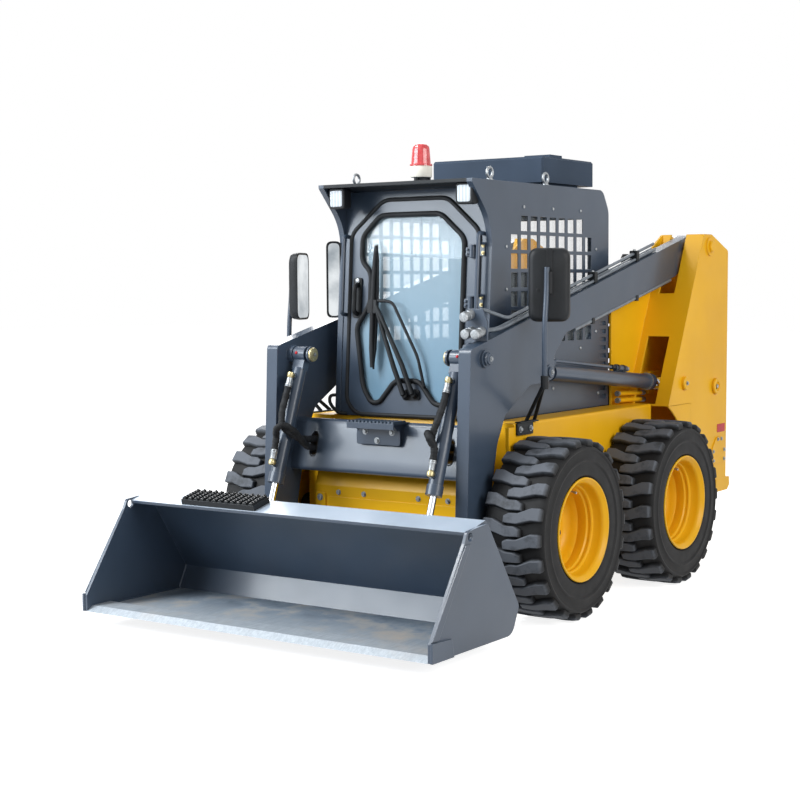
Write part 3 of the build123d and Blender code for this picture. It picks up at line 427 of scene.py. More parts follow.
def scour_bucket():
    """Bare steel on the bucket's floor, a painted sheen on the lip (a paler enamel where its top catches the
    light) and a dark tread on it; the rest keeps its paint.
    """
    mesh = NODES["bucket_shell"].data
    for extra in (BARE, DARK, LIP_SHEEN):
        mesh.materials.append(extra)
    floor_top, lip_foot, lip_sheet = 0.1, 0.5, 0.005
    lip = on_line(*LIP_LINE, 0, 0)
    out = (on_line(*LIP_LINE, 0, 0, -1) - lip).normalized()
    for polygon in mesh.polygons:
        c = polygon.center
        inside = abs(c.x) < BUCKET_HALF / 1000 - 0.01
        above_lip = (Vector((0, c.y, c.z)) - lip).dot(out)
        if c.z < floor_top and inside and polygon.normal.z > 0.3:
            polygon.material_index = 1
        elif above_lip > lip_sheet and TREAD_X[0] - 1 < c.x * 1000 < TREAD_X[1] + 1 and c.z > lip_foot:
            polygon.material_index = 2
        # Painted sheen: the lip's upward faces take the paler enamel.
        elif c.z > lip_foot and 0 < above_lip < lip_sheet and polygon.normal.z > 0.9:
            polygon.material_index = 3
        else:
            polygon.material_index = 0


# Mesh helpers

def tube_points(points, steps):
    """Smooth line through the points, by Catmull-Rom."""
    pts = [Vector(p) for p in points]
    line = []
    for i in range(len(pts) - 1):
        p0 = pts[max(i - 1, 0)]
        p1, p2 = pts[i], pts[i + 1]
        p3 = pts[min(i + 2, len(pts) - 1)]
        for k in range(steps):
            t = k / steps
            line.append(0.5 * (2 * p1 + (p2 - p0) * t + (2 * p0 - 5 * p1 + 4 * p2 - p3) * t * t
                               + (3 * p1 - p0 - 3 * p2 + p3) * t ** 3))
    line.append(pts[-1])
    return line


def turned_corner(a, corner, b, steps):
    """Smooth turn from a to b that leans toward the corner."""
    turn = []
    for k in range(steps + 1):
        t = k / steps
        turn.append((1 - t) ** 2 * a + 2 * t * (1 - t) * corner + t * t * b)
    return turn


def rounded(points, radius, steps=5):
    """Flat outline with its corners rounded, as (a, b) pairs."""
    out = []
    for i in range(len(points)):
        p = Vector(points[i])
        to_prev = Vector(points[i - 1]) - p
        to_next = Vector(points[(i + 1) % len(points)]) - p
        reach = min(radius, to_prev.length * 0.45, to_next.length * 0.45)
        out += turned_corner(p + to_prev.normalized() * reach, p, p + to_next.normalized() * reach, steps)
    return out


def panel(low_a, low_b, high_a, high_b, radius, steps=5):
    """Rectangle with rounded corners."""
    return rounded([(low_a, low_b), (high_a, low_b), (high_a, high_b), (low_a, high_b)], radius, steps)


def bent(points, radius, steps=5):
    """Open line through the points with its corners rounded, for rigid pipe."""
    line = [points[0]]
    for before, corner, after in zip(points, points[1:], points[2:]):
        a = corner + (before - corner).normalized() * min(radius, (before - corner).length * 0.45)
        b = corner + (after - corner).normalized() * min(radius, (after - corner).length * 0.45)
        line += turned_corner(a, corner, b, steps)
    return line + [points[-1]]


def circle(centre, u, v, radius, sides):
    """Points round a centre in the plane of two directions."""
    turns = [2 * pi * k / sides for k in range(sides)]
    return [centre + (u * cos(a) + v * sin(a)) * radius for a in turns]


def skin(bm, outlines, closed=False):
    """Faces between outlines of the same number of points, with flat ends unless the last joins the first."""
    rings = [[bm.verts.new(p) for p in outline] for outline in outlines]
    for a, b in zip(rings, rings[1:] + rings[:1] if closed else rings[1:]):
        for k in range(len(a)):
            n = (k + 1) % len(a)
            bm.faces.new((a[k], a[n], b[n], b[k]))
    if not closed:
        bm.faces.new(rings[0][::-1])
        bm.faces.new(rings[-1])


def sweep(bm, line, radius, sides=12, closed=False):
    """Round tube along a line; radius may be a number or one number per point."""
    count = len(line)
    radii = radius if isinstance(radius, list) else [radius] * count
    up = None
    rings = []
    for i, p in enumerate(line):
        ahead = line[(i + 1) % count] if closed or i + 1 < count else line[i]
        behind = line[i - 1] if closed or i > 0 else line[i]
        tangent = (ahead - behind).normalized()
        if up is None:
            up = tangent.orthogonal().normalized()
        up = (up - tangent * up.dot(tangent)).normalized()
        rings.append(circle(p, up, tangent.cross(up), radii[i], sides))
    skin(bm, rings, closed)


def bar(bm, a, b, radius, sides=20):
    sweep(bm, [Vector(a), Vector(b)], radius, sides)


def lathe(bm, profile, origin, axis, steps=32, closed=False):
    """Turned body: profile of (distance along the axis, radius) in millimetres."""
    axis = Vector(axis).normalized()
    u = axis.orthogonal().normalized()
    v = axis.cross(u)
    rings = []
    for distance, radius in profile:
        rings.append(circle(Vector(origin) + axis * (distance / 1000), u, v, max(radius, 0.05) / 1000, steps))
    skin(bm, rings, closed)


def prism(bm, outline, to_world, depth_a, depth_b):
    """Flat outline of (a, b) pairs made thick between two depths; to_world(a, depth, b) gives the place."""
    skin(bm, [[to_world(a, depth, b) for a, b in outline] for depth in (depth_a, depth_b)])


def bolt(bm, place, normal, across=19, height=9):
    """Hexagon head with a chamfer on a round washer."""
    normal = Vector(normal).normalized()
    r = across / 2 / cos(pi / 6)
    lathe(bm, [(0, across * 0.85), (2, across * 0.85), (2, across * 0.5)], place, normal, 20)
    lathe(bm, [(0, r), (height * 0.8, r), (height, r * 0.82)], Vector(place) + normal * 0.001, normal, 6)


def meshes(count):
    return [bmesh.new() for _ in range(count)]


def new_object(name, data):
    obj = bpy.data.objects.new(name, data)
    bpy.context.scene.collection.objects.link(obj)
    return obj


def mesh_object(name, bm):
    """Object from a finished mesh, its faces turned outward."""
    bmesh.ops.recalc_face_normals(bm, faces=bm.faces)
    mesh = bpy.data.meshes.new(name)
    bm.to_mesh(mesh)
    bm.free()
    return new_object(name, mesh)


def piece(name, bm, material, body, node=None, bevel=0.0, smooth=35):
    """Turns the mesh into an object that rides a body, with soft edges and smooth shading."""
    obj = mesh_object(name, bm)
    for polygon in obj.data.polygons:
        polygon.use_smooth = True
    obj.data.set_sharp_from_angle(angle=radians(smooth))
    obj.data.materials.append(material)
    if bevel:
        edge = obj.modifiers.new("soft_edges", "BEVEL")
        edge.width = bevel
        edge.segments = 2
        edge.limit_method = "ANGLE"
        edge.angle_limit = radians(40)
    if body:
        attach(obj, body)
    if node:
        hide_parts(node)
    return obj


# Wheels

TYRE_PROFILE = [
    (118, 216), (131, 227), (137, 239), (141, 244), (146, 247), (147.5, 253), (148, 276), (146, 306),
    (151, 311), (151.5, 319), (147, 325), (147.5, 350), (146.5, 360), (152, 365), (152, 372), (144, 378),
    (134, 383), (110, TREAD_BASE_R), (50, TREAD_BASE_R + 2), (0, TREAD_BASE_R + 2.5),
]
LUG_STATIONS = [
    # top x, top radius, foot x, foot radius, width, turn in degrees
    (148, 383, 139, 378, 50, 0.0),
    (147, 401, 133, 380, 54, 0.0),
    (138, 412, 124, 382, 56, 0.0),
    (96, 414, 96, 383, 55, 0.2),
    (66, 414.6, 66, 383, 50, 1.6),
    (28, 414.8, 28, 384, 46, 3.4),
    (-14, 414.6, -14, 384, 44, 3.4),
    (-40, 412, -48, 384, 30, 4.2),
]
LUG_DRAFT = 7
RIM_FACE = [
    (149, 236), (149, 231), (143, 226), (136, 216), (128, 210.5), (116, 209), (88, 207), (82, 204), (80, 198),
    (74, 195), (67, 197), (60, 196), (54, 189), (24, 186), (18, 188.5), (10, 188.5), (4, 184), (-16, 180),
    (-34, 172), (-46, 160), (-52, 145), (DISC_X + 4, 134), (DISC_X + 4, 84), (DISC_X + 12, 76),
    (DISC_X + 22, 66), (DISC_X + 26, 40), (DISC_X + 27, 0.1),
]
RIM_BACK = [
    (144, 238.5), (138, 236), (132, 224), (122, 214.5), (110, 212.5), (-110, 212.5), (-118, 214), (-124, 220),
    (-128, 228), (-133, 227.5), (-134, 222), (-130, 208), (-80, 200), (DISC_X - 8, 186), (DISC_X - 8, 0.1),
]


def lug(bm, turn, mirror_x):
    """One tread bar that starts on the shoulder, steps round the tyre and ends at the middle; open below."""
    sections = []
    for top_x, top_r, foot_x, foot_r, width, step in LUG_STATIONS:
        top, foot = width / 2, width / 2 + LUG_DRAFT
        corners = ((foot_x, foot_r, foot), (top_x, top_r, top), (top_x, top_r, -top), (foot_x, foot_r, -foot))
        section = []
        for x, r, half in corners:
            a = turn + radians(step) + half / TYRE_R
            section.append(bm.verts.new(Vector((x * mirror_x, r * cos(a), r * sin(a))) / 1000))
        sections.append(section)
    for a, b in zip(sections, sections[1:]):
        for k in range(3):
            bm.faces.new((a[k], a[k + 1], b[k + 1], b[k]))
    bm.faces.new(sections[0])
    bm.faces.new(sections[-1][::-1])


def tyre_mesh():
    bm = bmesh.new()
    mirrored = [(-x, r) for x, r in TYRE_PROFILE[-2::-1]]
    lathe(bm, TYRE_PROFILE + mirrored, (0, 0, 0), (1, 0, 0), 96, closed=True)
    pitch = 2 * pi / LUGS_PER_ROW
    for k in range(LUGS_PER_ROW):
        lug(bm, k * pitch, 1)
        lug(bm, (k + 0.5) * pitch, -1)
    return bm


def rim_mesh():
    bm = bmesh.new()
    lathe(bm, RIM_FACE[::-1] + RIM_BACK, (0, 0, 0), (1, 0, 0), 72)
    return bm


def nut_mesh():
    bm = bmesh.new()
    for k in range(8):
        a = radians(45 * k + 22.5)
        place = Vector((DISC_X + 4, NUT_CIRCLE_R * cos(a), NUT_CIRCLE_R * sin(a))) / 1000
        bolt(bm, place, (1, 0, 0), 26, 18)
    return bm


def valve_mesh():
    bm = bmesh.new()
    foot, cap, tip = (Vector((x, 0, z)) / 1000 for x, z in ((60, 176), (92, 168), (106, 165)))
    bar(bm, foot, cap, 0.004, 10)
    bar(bm, cap, tip, 0.0055, 10)
    return bm


def wheels():
    """The treads point the same way on both sides; rims, nuts and valves face outward."""
    for end, station in (("front", 0), ("rear", WHEELBASE)):
        for side, s in SIDES:
            spot = f"{end}_{side}"
            body = f"wheel_{spot}"
            straight = Matrix.Translation(at(s * TRACK / 2, station, AXLE_Z))
            outward = straight @ Matrix.Rotation(0 if s > 0 else pi, 4, "Z")
            tyre = piece(f"tread_tyre_{spot}", tyre_mesh(), RUBBER, body, f"tyre_{spot}",
                         bevel=0.003, smooth=42)
            tyre.matrix_world = straight
            rim = piece(f"deep_rim_{spot}", rim_mesh(), GOLD, body, f"rim_{spot}", smooth=30)
            nuts = piece(f"wheel_nuts_{spot}", nut_mesh(), IRON, body)
            valve = piece(f"valve_{spot}", valve_mesh(), ZINC, body)
            for obj in (rim, nuts, valve):
                obj.matrix_world = outward


# Cab door, drawn in the cab's leaning front plane

def door_outline(grow):
    half, low, high = DOOR_HALF + grow, DOOR_LOW - grow, DOOR_HIGH + grow
    return [(60 - half, low), (half - 60, low), (half, low + 60), (half, high - 160), (half - 185, high),
            (185 - half, high), (-half, high - 160), (-half, low + 60)]


def glass_outline():
    w = DOOR_HALF
    return [(92 - w, 140), (142 - w, 66), (192 - w, 66), (-80, 176), (60, 176), (w - 212, 66), (w - 132, 66),
            (w - 72, 140), (w - 72, 850), (w - 212, 970), (166 - w, 970), (62 - w, 868), (62 - w, 750),
            (120 - w, 694), (120 - w, 542), (42 - w, 432)]


def door_seals():
    inner, outer = meshes(2)
    sweep(inner, [door_at(x, -3, z) for x, z in rounded(glass_outline(), 34, 6)], 0.0125, 12, closed=True)
    piece("glass_seal", inner, SEAL, "cab_door")
    sweep(outer, [door_at(x, 2, z) for x, z in rounded(door_outline(7), 40, 6)], 0.011, 12, closed=True)
    piece("door_frame_seal", outer, SEAL, "chassis")


def wiper():
    """Two parallel arms from the hump of the glass to a tall sprung blade, with a washer tube beside them."""
    blade_x, top, low = -202, 822, 234
    arms, blade, tube = meshes(3)
    for x, z in ((-8, 106), (42, 112)):
        lathe(arms, [(0, 21), (14, 21), (20, 16), (30, 16), (34, 11)], door_at(x, 2, z), FACE_OUT, 20)
        line = [door_at(x, -34, z), door_at(x - 60, -38, z + 135), door_at(blade_x + 14, -42, 540 + 0.2 * x)]
        sweep(arms, line, [0.013, 0.012, 0.009], 10)
    prism(arms, rounded([(-34, 82), (70, 86), (62, 138), (-26, 134)], 18), door_at, -8, 0)
    piece("wiper_arms", arms, DARK, "cab_door", node="door_fittings", bevel=0.0015)
    outline = [(-6, top), (6, top), (16, top - 70), (21, top - 190), (22, 528), (18, low + 90), (6, low),
               (-8, low), (-18, low + 90), (-21, 528), (-19, top - 190), (-13, top - 70)]
    prism(blade, [(blade_x + x, z) for x, z in outline], door_at, -34, -18)
    spine = [(3, -32, low + 20), (4, -42, 380), (4, -46, 528), (4, -42, 690), (2, -32, top - 30)]
    sweep(blade, tube_points([door_at(blade_x + x, y, z) for x, y, z in spine], 6), 0.008, 8)
    prism(blade, panel(blade_x - 24, 494, blade_x + 28, 560, 10), door_at, -50, -30)
    rubber = [(-4, low - 8), (4, low - 8), (4, top + 6), (-4, top + 6)]
    prism(blade, [(blade_x + x, z) for x, z in rubber], door_at, -20, -12)
    piece("wiper_blade", blade, SEAL, "cab_door", bevel=0.0015)
    line = [door_at(96, -14, 148), door_at(60, -24, 290), door_at(-92, -32, 552), door_at(-178, -36, 556)]
    sweep(tube, bent(line, 0.03), 0.0075, 10)
    piece("washer_tube", tube, SEAL, "cab_door")


def door_handle():
    latch, lock = meshes(2)
    x, z = -318, 570
    prism(latch, panel(x - 26, z - 96, x + 24, z + 100, 14), door_at, -9, 0)
    grip = [(-6, z - 78), (-34, z - 62), (-36, z), (-34, z + 50), (-6, z + 70)]
    sweep(latch, tube_points([door_at(x + 2, depth, height) for depth, height in grip], 6), 0.0115, 12)
    piece("door_latch", latch, PLASTIC, "cab_door", bevel=0.002)
    lathe(lock, [(0, 12), (6, 12), (8, 9)], door_at(x + 2, -9, z + 84), FACE_OUT, 20)
    piece("door_lock_barrel", lock, ZINC, "cab_door")


def door_hinges():
    leaves, leaf_bolts, frame_bolts = meshes(3)
    for z in HINGE_Z:
        prism(leaves, panel(HINGE_X - 46, z - 22, HINGE_X, z + 22, 8), door_at, -8, 0)
        bar(leaves, door_at(HINGE_X, -14, z - 30), door_at(HINGE_X, -14, z + 30), 0.013)
        for up in (-10, 10):
            bolt(leaf_bolts, door_at(HINGE_X - 30, -8, z + up), FACE_OUT, 11, 6)
        for up in (-6, 28):
            bolt(frame_bolts, door_at(HINGE_X + 54, -5, z + up), FACE_OUT, 11, 6)
    piece("hinge_leaves", leaves, SLATE, "cab_door", bevel=0.002)
    piece("hinge_leaf_bolts", leaf_bolts, SLATE, "cab_door")
    piece("hinge_frame_bolts", frame_bolts, YELLOW_ZINC, "chassis")


# Cab furniture

def work_lamp(name, x):
    housing, glass = meshes(2)
    w, h, z = 46, 49, 1938
    rings = []
    for inset, y in ((12, -100), (3, -112), (0, -130), (0, -168), (4, -172)):
        outline = panel(x - w + inset, z - h + inset, x + w - inset, z + h - inset, 14)
        rings.append([at(a, y, b) for a, b in outline])
    skin(housing, rings)
    piece(name, housing, PLASTIC, "chassis")
    w, h = w - 11, h - 11
    prism(glass, panel(x - w, z - h, x + w, z + h, 11), at, -171, -174)
    piece(name + "_glass", glass, LAMP, "chassis", bevel=0.0008)


def work_lamps():
    bm = bmesh.new()
    for x in (368, -368):
        prism(bm, [(x - 8, 1976), (x + 8, 1976), (x + 8, 1990), (x - 8, 1990)], at, -140, -116)
    piece("lamp_brackets", bm, DARK, "chassis", node="work_lamps", bevel=0.001)
    work_lamp("work_lamp_left", 378)
    work_lamp("work_lamp_right", -350)


def beacon():
    origin = at(40, -20, CAB_TOP_Z)
    up = (0, 0, 1)
    base, lens, feet = meshes(3)
    lathe(base, [(26, 40), (27, 50), (32, 52), (76, 52), (80, 50), (80, 30)], origin, up, 40)
    piece("beacon_base", base, CREAM, "chassis", node="beacon")
    sides = 48
    rings = []
    for z, r in ((80, 53), (89, 53), (91, 47), (126, 44.5), (160, 41.5), (172, 39), (180, 32), (183.5, 18)):
        ring = []
        for k in range(sides):
            a = 2 * pi * k / sides
            ribbed = r - 0.9 if k % 4 < 2 and 91 <= z <= 172 else r
            ring.append(origin + Vector((ribbed * cos(a), ribbed * sin(a), z)) / 1000)
        rings.append(ring)
    skin(lens, rings)
    piece("beacon_lens", lens, LENS, "chassis", smooth=50)
    for k in range(3):
        a = radians(120 * k + 30)
        place = origin + Vector((38 * cos(a), 38 * sin(a), 0)) / 1000
        lathe(feet, [(0, 12), (5, 12), (6, 8), (28, 8)], place, up, 12)
    lathe(feet, [(12, 34), (24, 34), (26, 24)], origin, up, 24)
    piece("beacon_feet", feet, SEAL, "chassis")


def eye_bolts():
    bm = bmesh.new()
    rear, up = Vector((0, 1, 0)), Vector((0, 0, 1))
    for x in (385, -385):
        for y in (40, 560):
            lathe(bm, [(0, 21), (5, 21), (6, 15), (13, 13), (16, 11)], at(x, y, CAB_TOP_Z), up, 24)
            sweep(bm, circle(at(x, y, CAB_TOP_Z + 38), rear, up, 0.024, 32), 0.0068, 10, closed=True)
    piece("roof_eye_bolts", bm, ZINC, "chassis", node="lifting_eyes", smooth=60)


def mirror_head(name, centre, turn, size, glass_front):
    """Rear-view mirror: a rounded shell, domed at the back, with silvered glass in its open side."""
    w, h, t = size
    spin = Matrix.Rotation(radians(turn), 3, "Z")
    front = -1 if glass_front else 1

    def place(x, y, z):
        p = spin @ Vector((x, y * front, z))
        return at(centre[0] + p.x, centre[1] + p.y, centre[2] + p.z)

    def outline(inset, corner):
        return panel(inset - w / 2, inset - h / 2, w / 2 - inset, h / 2 - inset, corner, 6)

    shell, glass = meshes(2)
    radius = min(46, w * 0.4)
    rings = []
    dome = ((4, t / 2 - 4), (0, t / 2), (0, t / 2 - 8), (3, -t * 0.1), (9, -t * 0.34), (24, -t * 0.5))
    for inset, depth in dome:
        inset = min(inset, w * 0.2)
        rings.append([place(x, depth, z) for x, z in outline(inset, radius - inset * 0.4)])
    skin(shell, rings)
    piece(name + "_shell", shell, PLASTIC, "chassis", smooth=50)
    edge = 10
    prism(glass, outline(edge, radius - edge * 0.6), place, t / 2 - 3, t / 2 - 0.5)
    piece(name + "_glass", glass, MIRROR, "chassis")
    return place


def mirrors():
    legs, masts, clamps, arms, bolts = meshes(5)
    for s in (1, -1):
        joint = at(s * (RAIL_OUT_X + 138), -65, 1081)
        for y in (10, 85):
            bar(legs, at(s * (RAIL_OUT_X - 4), y, 893), joint, 0.009, 14)
        bar(legs, joint - Vector((0, 0, 0.03)), joint + Vector((0, 0, 0.03)), 0.018, 18)
        prism(legs, panel(-90, 835, 50, 890, 8), side_view(s), RAIL_OUT_X, RAIL_OUT_X + 12)
        prism(legs, panel(-68, 582, 96, 616, 6), lambda a, depth, b: at(s * b, a, depth), 890, 896)
        mast = [joint, at(s * (RAIL_OUT_X + 137), -64, 1330), at(s * (RAIL_OUT_X + 136), -44, 1480),
                at(s * (RAIL_OUT_X + 136), -40, 1600)]
        sweep(masts, bent(mast, 0.08), 0.012, 14)
        for y in (-66, 26):
            bolt(bolts, at(s * (RAIL_OUT_X + 12), y, 862), (s, 0, 0), 17, 9)
    piece("mirror_legs", legs, DARK, "chassis", node="mirrors", bevel=0.001)
    piece("mirror_masts", masts, SLATE, "chassis", smooth=60)
    left = mirror_head("mirror_left", (726, 0, 1520), 30, MIRROR_SIZE, False)
    right = mirror_head("mirror_right", (-726, 0, 1520), 110, MIRROR_SIZE, True)
    mirror_head("mirror_cab", (-467, -40, 1552), 30, (76, 376, 24), True)
    prism(clamps, panel(-13, 62, 13, 164, 4), left, -28, -14)
    bar(clamps, left(0, -34, -40), left(0, -34, 60), 0.0155, 16)
    bar(clamps, left(-52, -26, -24), left(-52, -22, -24), 0.008, 14)
    prism(clamps, panel(-13, -60, 13, 60, 4), right, -46, -24)
    piece("mirror_clamps", clamps, SEAL, "chassis", bevel=0.002)
    for z in (1400, 1704):
        sweep(arms, [at(-436, -26, z), at(-462, -30, z), at(-474, -38, z)], 0.008, 12)
    piece("cab_mirror_arms", arms, PLASTIC, "chassis")
    piece("mirror_bracket_bolts", bolts, ZINC, "chassis")


def corner_grip():
    """Small bent hand hold at the foot of the cab's right front corner."""
    bm = bmesh.new()
    line = [at(-436, -70, 986), at(-464, -88, 984), at(-462, -98, 952), at(-430, -104, 920),
            at(-398, -100, 900), at(-370, -80, 898)]
    sweep(bm, bent(line, 0.03), 0.0085, 12)
    piece("corner_grip", bm, DARK, "chassis", smooth=60)


def cushion(name, centre, size, tilt):
    """Crowned pad of the seat with two sewn grooves along it."""
    crown = 5
    bm = bmesh.new()
    bmesh.ops.create_cube(bm, size=2)
    bmesh.ops.subdivide_edges(bm, edges=bm.edges, cuts=15, use_grid_fill=True)
    spin = Matrix.Rotation(radians(tilt), 3, "X")
    for v in bm.verts:
        d = v.co.normalized()
        p = d * sum(abs(c) ** crown for c in d) ** (-1 / crown)
        groove = 6 if abs(abs(p.x) - 0.62) < 0.05 else 0
        p = spin @ (Vector(p[i] * size[i] / 2 for i in range(3)) - d * groove)
        v.co = at(centre[0] + p.x, centre[1] + p.y, centre[2] + p.z)
    return piece(name, bm, VINYL, "chassis", smooth=60)


def padded_seat():
    low = cushion("seat_cushion", (0, 800, 992), (488, 420, 116), 0)
    high = cushion("seat_back", (0, 992, 1310), (468, 104, 556), -6)
    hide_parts("seat")


# Boom

def aux_couplers():
    """Plate on the left arm with three quick couplers that point forward."""
    front, back = COUPLER_Y
    foot = arm_top(front)
    plate, couplers = meshes(2)
    outline = [(ARM_IN_X - 42, foot + 18), (ARM_IN_X, foot + 18), (ARM_IN_X, foot), (ARM_OUT_X, foot),
               (ARM_OUT_X, foot + 84), (ARM_OUT_X - 24, foot + 145), (ARM_IN_X - 42, foot + 145)]
    prism(plate, rounded(outline, 7), at, front, back)
    gusset = [(back, foot + 90), (back, foot + 2), (back + 90, arm_top(back + 90))]
    prism(plate, gusset, side_view(), ARM_IN_X + 8, ARM_IN_X + 16)
    piece("coupler_plate", plate, SLATE, "boom", node="aux_couplers", bevel=0.0015)
    profile = [(0, 17), (8, 17), (8, 22), (36, 22), (38, 19), (44, 19), (46, 23), (74, 23), (78, 20),
               (80, 13)]
    for x, z in COUPLER_SPOTS:
        lathe(couplers, profile, at(x, back, foot + z), (0, -0.97, -0.2), 24)
    piece("quick_couplers", couplers, ZINC, "boom")


def arm_pipes():
    """Steel lines from the couplers along the top of the left arm, held by clamps."""
    front, back = COUPLER_Y
    foot = arm_top(front)
    pipes, clamps, bolts = meshes(3)
    for x, run_x in ((ARM_IN_X - 16, ARM_IN_X + 12), (ARM_IN_X + 36, ARM_IN_X + 36)):
        line = [at(x, back, foot + 46), at(x, back + 50, foot + 46),
                at(run_x, back + 150, arm_top(back + 150) + 11),
                at(run_x, PIPE_END_Y, arm_top(PIPE_END_Y) + 11)]
        sweep(pipes, bent(line, 0.04), 0.008, 12)
    x = ARM_IN_X + 26
    line = [at(ARM_IN_X - 22, back, foot + 122), at(ARM_IN_X - 20, back + 70, foot + 143),
            at(x, back + 225, arm_top(back + 225) + 40), at(x, PIPE_END_Y, arm_top(PIPE_END_Y) + 40)]
    sweep(pipes, bent(line, 0.03), 0.008, 12)
    piece("arm_top_pipes", pipes, STEEL_PIPE, "boom", smooth=60)
    for y in (300, 760, 1220):
        z = arm_top(y)
        prism(clamps, panel(ARM_IN_X + 4, z - 6, ARM_IN_X + 48, z + 54, 6), at, y - 15, y + 15)
        bolt(bolts, at(x, y, z + 54), (0, -0.1, 1), 12, 7)
    piece("pipe_clamps", clamps, DARK, "boom", bevel=0.002)
    piece("pipe_clamp_bolts", bolts, ZINC, "boom")


def under_arm_pipes():
    pipes, clamps = meshes(2)
    for s in (1, -1):
        stations = (520, 760, 1000, 1240, 1440, 1590)
        line = [at(s * (ARM_OUT_X - 9), y, edge_height(ARM_LOW_EDGE, y) - 10) for y in stations]
        sweep(pipes, tube_points(line, 4), 0.0095, 12)
        for y in (700, 1180):
            z = edge_height(ARM_LOW_EDGE, y)
            outline = panel(y - 14, z - 26, y + 14, z + 4, 5)
            prism(clamps, outline, side_view(s), ARM_OUT_X - 30, ARM_OUT_X + 3)
    piece("arm_under_pipes", pipes, STEEL_PIPE, "boom", smooth=60)
    piece("under_pipe_clamps", clamps, DARK, "boom", bevel=0.002)


def pin_heads():
    """Keeper plates and grease caps on the boom's pins."""
    heads, caps, grease, bolts = meshes(4)
    head = [(0, 30), (10, 30), (12, 26), (20, 24), (22, 10)]
    cap = [(0, 33), (4, 34), (10, 32), (12, 26), (14, 9)]
    for s in (1, -1):
        out, inward = (s, 0, 0), (-s, 0, 0)
        lathe(heads, head, at(s * (ARM_OUT_X + 14), *TILT_TOP), out, 32)
        lathe(heads, [(0, 26), (8, 26), (10, 22)], at(s * (ARM_OUT_X + 12), *LIFT_FRONT), out, 32)
        lathe(caps, cap, at(s * (TILT_X - 58), *TILT_TOP), inward, 36)
        nipple = on_line(TILT_TOP, TILT_EYE, s * (TILT_X + 10), 4, 37)
        lathe(grease, [(0, 7), (3, 7), (5, 4)], nipple, (0, -1, 0.3), 14)
        bolt(bolts, at(s * (TILT_X - 70), *TILT_TOP), inward, 12, 7)
        bolt(bolts, at(s * (ARM_OUT_X + 36), *TILT_TOP), out, 14, 8)
        bolt(bolts, at(s * (ARM_OUT_X + 22), *LIFT_FRONT), out, 14, 8)
    piece("boom_pin_heads", heads, SLATE, "boom")
    piece("tilt_pin_caps", caps, YELLOW_ZINC, "boom")
    piece("grease_caps", grease, RED, "boom")
    piece("boom_pin_bolts", bolts, ZINC, "boom")


def cut(obj, bm):
    """Takes the closed mesh out of an object for good."""
    cutter = mesh_object("cutter", bm)
    step = obj.modifiers.new("cut", "BOOLEAN")
    step.object = cutter
    step.operation = "DIFFERENCE"
    step.solver = "EXACT"
    bpy.context.view_layer.update()
    done = bpy.data.meshes.new_from_object(obj.evaluated_get(bpy.context.evaluated_depsgraph_get()))
    obj.modifiers.remove(step)
    old = obj.data
    done.name = old.name
    obj.data = done
    bpy.data.meshes.remove(old)
    bpy.data.objects.remove(cutter)
    obj.data.set_sharp_from_angle(angle=radians(40))


def hose_slot(x, count):
    """Upright oval of a hose slot in front view."""
    oval = []
    for k in range(count):
        a = 2 * pi * k / count
        rise = HOSE_SLOT_RISE if k < count / 2 else -HOSE_SLOT_RISE
        oval.append((x + HOSE_SLOT_R * cos(a), HOSE_SLOT_Z + HOSE_SLOT_R * sin(a) + rise))
    return oval


def cross_beam():
    """Box beam between the arms, with an oval hose slot beside each cylinder, cut square to its face."""
    box, slots, rims = meshes(3)
    outline = rounded([BEAM_FOOT, (-262, 640), (-200, 882), (-285, 888)], 24)
    prism(box, outline, side_view(), -ARM_IN_X, ARM_IN_X)
    beam = piece("cross_beam", box, SLATE, "boom", node="boom_crossmember", smooth=40)
    drop = 74

    def square_to_face(a, depth, b):
        return at(a, depth + BEAM_SLOPE * (b - HOSE_SLOT_Z), b - BEAM_SLOPE * depth - drop)

    for x in (-HOSE_SLOT_X, HOSE_SLOT_X):
        prism(slots, hose_slot(x, 24), square_to_face, -420, -150)
        ring = [at(a, BEAM_FOOT[0] + (b - BEAM_FOOT[1]) * BEAM_SLOPE, b) for a, b in hose_slot(x, 28)]
        sweep(rims, ring, 0.0035, 8, closed=True)
    cut(beam, slots)
    piece("slot_grommets", rims, SEAL, "boom")


def boom_step():
    """Folded step with a toothed tread, bolted to the front of the cross beam."""
    step, bolts = meshes(2)
    fold = [(-395, 862), (-389, 862), (-389, 884), (-262, 884), (-262, 890), (-395, 890)]
    prism(step, fold, side_view(), -STEP_HALF, STEP_HALF)
    for k in range(13):
        x = 7 - STEP_HALF + 21 * k
        prism(step, [(x - 7, 889), (x + 7, 889), (x + 4, 899), (x - 4, 899)], at, -395, -292)
    plate = [(-124, 783), (124, 783), (124, 840), (112, 886), (-112, 886), (-124, 840)]
    prism(step, rounded(plate, 14), at, -330, -322)
    cheek = rounded([(-326, 790), (-302, 790), (-284, 886), (-385, 886), (-326, 846)], 8)
    for x in (-118, 112):
        prism(step, cheek, side_view(), x, x + 6)
    piece("boom_step", step, SLATE, "boom", bevel=0.0012)
    for x, z in ((-73, 844), (79, 844), (-6, 803)):
        bolt(bolts, at(x, -330, z), (0, -1, 0), 18, 10)
    piece("step_bolts", bolts, ZINC, "boom")


